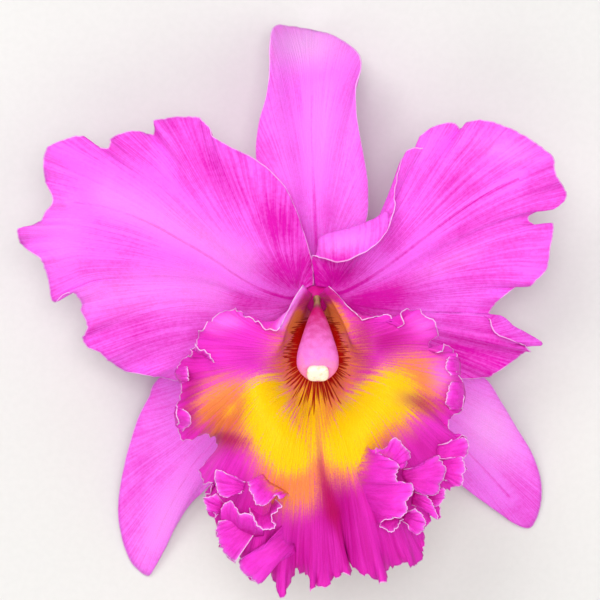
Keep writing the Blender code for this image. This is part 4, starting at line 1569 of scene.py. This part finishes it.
@dataclass
class OvaryStem:
    """The receptacle, the ribbed ovary and its stalk, with a cut end."""

    node: str = "ovary_stem"
    receptacle_radius: float = 4.35 * MM
    receptacle_depth: float = 5.0 * MM
    ovary_radius: float = 3.1 * MM
    stalk_radius: float = 2.1 * MM
    ribs: int = 6
    rib_depth: float = 0.09

    def build(self, material: bpy.types.Material) -> bpy.types.Object:
        """Make the stem in place of its node."""
        route = np.array(STEM_ROUTE, float) * MM
        top = np.array([(0, 0, -0.2 * MM), (0, 0, -self.receptacle_depth)])
        knots = np.concatenate([top, route]) + BASE
        centres = along(knots, 40)
        travel = np.gradient(centres, axis=0)
        across, up = square_axes(travel)
        share = np.linspace(0, 1, len(centres))
        swell = smooth_step((share - 0.16) / 0.12)
        slim = smooth_step((share - 0.3) / 0.45)
        radius = self.receptacle_radius * (1 - swell) + self.ovary_radius * swell
        radius = (radius * (1 - slim) + self.stalk_radius * slim)[:, None]
        loft = Loft(centres, across * radius, up * radius, segments=72, rings=90)

        def wave(turn: np.ndarray, share: np.ndarray) -> np.ndarray:
            """Ribs that rise below the receptacle and fade along the stalk."""
            fade = smooth_step((share - 0.18) / 0.1) * (1 - smooth_step((share - 0.5) / 0.4))
            return 1 + self.rib_depth * fade * np.cos(self.ribs * turn)

        piece = loft.mesh("ovary_stem_body", wave)
        turn = np.empty(len(piece.data.vertices), np.float32)
        piece.data.attributes["turn"].data.foreach_get("value", turn)
        carry(piece.data, {"ridge": 0.5 + 0.5 * np.cos(self.ribs * turn)})
        settle(piece, Slot.STEM, material, self.node)
        return piece


@dataclass
class Studio:
    """A pale card under the bloom, soft lights and the camera straight above."""

    card_side: float = 3.0
    card_drop: float = 0.0003
    sky: float = 0.36

    def build(self, floor: bpy.types.Material) -> None:
        """Lay the card, hang the lights and set the camera up."""
        begin()
        bpy.ops.mesh.primitive_grid_add(
            x_subdivisions=8, y_subdivisions=8, size=self.card_side, location=(0, 0, 0)
        )
        card = bpy.context.object
        card.name = "card_floor"
        card.data.vertices.foreach_set(
            "co",
            (np.array([v.co for v in card.data.vertices]) - (0, 0, self.card_drop)).ravel(),
        )
        card.data.materials.append(floor)

        world = bpy.data.worlds.new("soft_sky")
        world.use_nodes = True
        world.node_tree.nodes["Background"].inputs["Color"].default_value = (1.0, 1.0, 1.0, 1.0)
        world.node_tree.nodes["Background"].inputs["Strength"].default_value = self.sky
        bpy.context.scene.world = world
        self.lamp("key_softbox", (-0.30, 0.45, 0.75), 0.45, 3.1)
        self.lamp("front_softbox", (0.02, 0.06, 0.85), 0.30, 2.8)
        self.lamp("fill_softbox", (0.50, -0.10, 0.70), 0.60, 1.2)
        self.lamp("low_softbox", (-0.10, -0.55, 0.60), 0.60, 1.6)

        camera = bpy.data.objects.new("camera", bpy.data.cameras.new("camera"))
        camera.data.sensor_width = SENSOR
        camera.data.lens = SENSOR * EYE_HEIGHT / (IMAGE_PIXELS * PIXEL)
        across = (EYE_PIXEL[0] - BASE_PIXEL[0]) * PIXEL
        camera.location = BASE + np.array((across, 0.0, EYE_HEIGHT))
        bpy.context.scene.collection.objects.link(camera)
        bpy.context.scene.camera = camera
        bpy.context.scene.view_settings.view_transform = "Standard"

    def lamp(self, name: str, place: Knot, side: float, power: float) -> None:
        """Hang one square softbox that faces the bloom."""
        light = bpy.data.lights.new(name, "AREA")
        light.size = side
        light.energy = power
        lamp = bpy.data.objects.new(name, light)
        lamp.location = place
        lamp.rotation_euler = (-Vector(place)).to_track_quat("-Z", "Y").to_euler()
        bpy.context.scene.collection.objects.link(lamp)


def main() -> None:
    """Build the bloom and its studio, in order, and report each piece."""
    logging.basicConfig(level=logging.INFO, format="%(name)s %(message)s")
    Studio().build(FloorFinish().build())

    petal = PetalFinish("petal_tissue", lit="#fa6cf3", deep="#dc06b2").build()
    sepal = PetalFinish(
        "sepal_tissue", lit="#fc7af8", deep="#e828c4", vein_count=150.0, vein_tint=0.22
    ).build()
    lip = LipFinish("lip_tissue").build()

    blades = [
        Blade(
            "petal_left",
            Slot.PETAL,
            PETAL_LEFT_MARGIN,
            PETAL_LEFT_MIDRIB,
            (-0.8, -4.3, 0.0),
            0.60 * MM,
            deep=[
                Patch((277, 222), (24, 50), -28, 0.85),
                Patch((293, 272), (34, 34), 0, 1.0),
                Stroke([(297, 297), (240, 300)], 14, 0.8),
                Patch((218, 172), (66, 26), 38, 0.72),
                Patch((135, 150), (60, 12), 8, 0.25),
                Patch((140, 335), (56, 28), 20, 0.5),
                Patch((255, 345), (64, 28), 0, 0.75),
            ],
            pale=[
                Stroke([(240, 262), (180, 228), (110, 196)], 20, 0.26),
                Stroke([(210, 290), (150, 290), (90, 300)], 22, 0.22),
                Patch((60, 232), (30, 40), 0, 0.16),
            ],
            seed=1.0,
        ),
        Blade(
            "petal_right",
            Slot.PETAL,
            PETAL_RIGHT_MARGIN,
            PETAL_RIGHT_MIDRIB,
            (1.5, -4.2, 0.0),
            0.60 * MM,
            folds=PETAL_RIGHT_FOLDS,
            spread=1.45,
            rows=76,
            deep=[
                Patch((370, 300), (60, 20), -14, 1.0),
                Patch((336, 278), (40, 26), 0, 1.0),
                Stroke([(315, 290), (314, 262)], 7, 1.0),
                Patch((470, 352), (80, 34), 0, 0.75),
                Patch((480, 215), (84, 60), 0, 0.45),
                Patch((400, 235), (26, 30), 40, 0.45),
                Patch((474, 150), (34, 18), -30, 0.35),
                Patch((530, 210), (30, 50), 0, 0.4),
            ],
            pale=[
                Patch((510, 152), (30, 12), 15, 0.16),
                Patch((450, 262), (40, 10), -25, 0.15),
                Patch((345, 243), (26, 8), -15, 0.22),
            ],
            seed=2.0,
        ),
        Blade(
            "dorsal_sepal",
            Slot.SEPAL,
            DORSAL_MARGIN,
            DORSAL_MIDRIB,
            (7.5, 0.0, 0.0),
            0.75 * MM,
            crisp_height=0.12,
            tooth_depth=0.05,
            claw_tint=0.7,
            deep=[Patch((315, 250), (40, 55), 0, 0.6), Patch((268, 130), (12, 60), 0, 0.25)],
            pale=[Patch((305, 46), (36, 22), 0, 0.75), Patch((325, 120), (22, 60), 0, 0.2)],
            seed=3.0,
        ),
        Blade(
            "lateral_sepal_left",
            Slot.SEPAL,
            SEPAL_LEFT_MARGIN,
            SEPAL_LEFT_MIDRIB,
            (4.0, -3.0, 0.0),
            0.75 * MM,
            crisp_height=0.12,
            tooth_depth=0.05,
            deep=[Patch((140, 470), (16, 90), 12, 0.3)],
            pale=[Patch((165, 520), (16, 50), 25, 0.3)],
            seed=4.0,
        ),
        Blade(
            "lateral_sepal_right",
            Slot.SEPAL,
            SEPAL_RIGHT_MARGIN,
            SEPAL_RIGHT_MIDRIB,
            (-3.8, -3.2, 0.0),
            0.75 * MM,
            crisp_height=0.12,
            tooth_depth=0.05,
            deep=[Patch((440, 455), (70, 12), 40, 0.35), Patch((516, 496), (20, 34), -30, 0.45)],
            pale=[Patch((490, 428), (28, 38), -35, 0.6)],
            seed=5.0,
        ),
    ]
    for blade in blades:
        blade.build(petal if blade.slot is Slot.PETAL else sepal)

    Lip(
        yellow=[
            Stroke([(267, 398), (268, 416), (276, 436), (290, 452)], 24, 1.0),
            Stroke([(393, 396), (378, 404), (360, 420), (347, 444)], 26, 1.0),
            Stroke([(308, 400), (312, 445)], 24, 0.55),
            Patch((232, 410), (20, 12), -8, 0.35),
        ],
        orange=[
            Stroke([(226, 408), (250, 412), (278, 440), (293, 482)], 30, 1.0),
            Stroke([(412, 384), (395, 398), (362, 430), (346, 450)], 31, 1.0),
            Patch((317, 364), (44, 52), 0, 1.0),
            Stroke([(317, 400), (317, 450)], 36, 1.0),
            Stroke([(296, 316), (292, 328)], 9, 1.0),
            Stroke([(333, 312), (341, 326)], 10, 1.0),
        ],
        groove=[
            Stroke([(316, 404), (317, 426), (318.5, 446), (321, 466), (326, 488), (333, 512)], 9.5, 0.95,
                   start=(1.0, 0.2)),
            Stroke([(333, 512), (337, 526), (343, 550)], 3.5, 0.25, start=(9.5, 0.95)),
            # These two darken the side lobes' valleys: partly their red-magenta colour, partly painted
            # shade
            Patch((231, 439), (23, 8), 8, 0.7),
            Patch((417, 402), (25, 12), 14, 0.62),
            Patch((195, 390), (12, 16), 0, 0.3),
            Patch((362, 346), (11, 26), 8, 0.35),
        ],
        deep=[
            Patch((332, 498), (34, 58), -12, 1.0),
            Patch((325, 545), (110, 64), 0, 0.6),
            Patch((300, 300), (14, 14), 0, 0.9),
            Patch((331, 300), (14, 16), 0, 1.0),
            Patch((240, 352), (30, 14), 30, 0.25),
            Patch((363, 345), (18, 34), 0, 0.9),
            # These two darken the side lobes' valleys: partly their deep colour, partly painted shade
            Patch((232, 440), (30, 14), 10, 0.9),
            Patch((417, 402), (30, 12), 12, 0.9),
            Patch((375, 492), (40, 30), 40, 0.7),
            Patch((425, 445), (40, 22), 20, 0.4),
            Patch((388, 342), (30, 17), 0, 0.85),
            Patch((192, 398), (14, 34), 0, 0.8),
            Patch((225, 535), (26, 22), 0, 0.8),
        ],
        pale=[
            Stroke([(302, 286), (294, 301), (287, 315), (280, 327)], 4.2, 1.0),
            Patch((225, 322), (30, 12), -10, 0.5),
            Patch((425, 325), (20, 16), 30, 0.4),
            Patch((444, 375), (16, 22), 0, 0.5),
        ],
        frills=LIP_FRILLS,
    ).build(lip)
    Column().build(ColumnFinish().build())
    AntherCap().build(CapFinish().build())
    OvaryStem().build(StemFinish().build())

    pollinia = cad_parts["pollinia"]
    pollinia.data.materials.clear()
    pollinia.data.materials.append(PollenFinish().build())


if __name__ == "__main__":
    main()
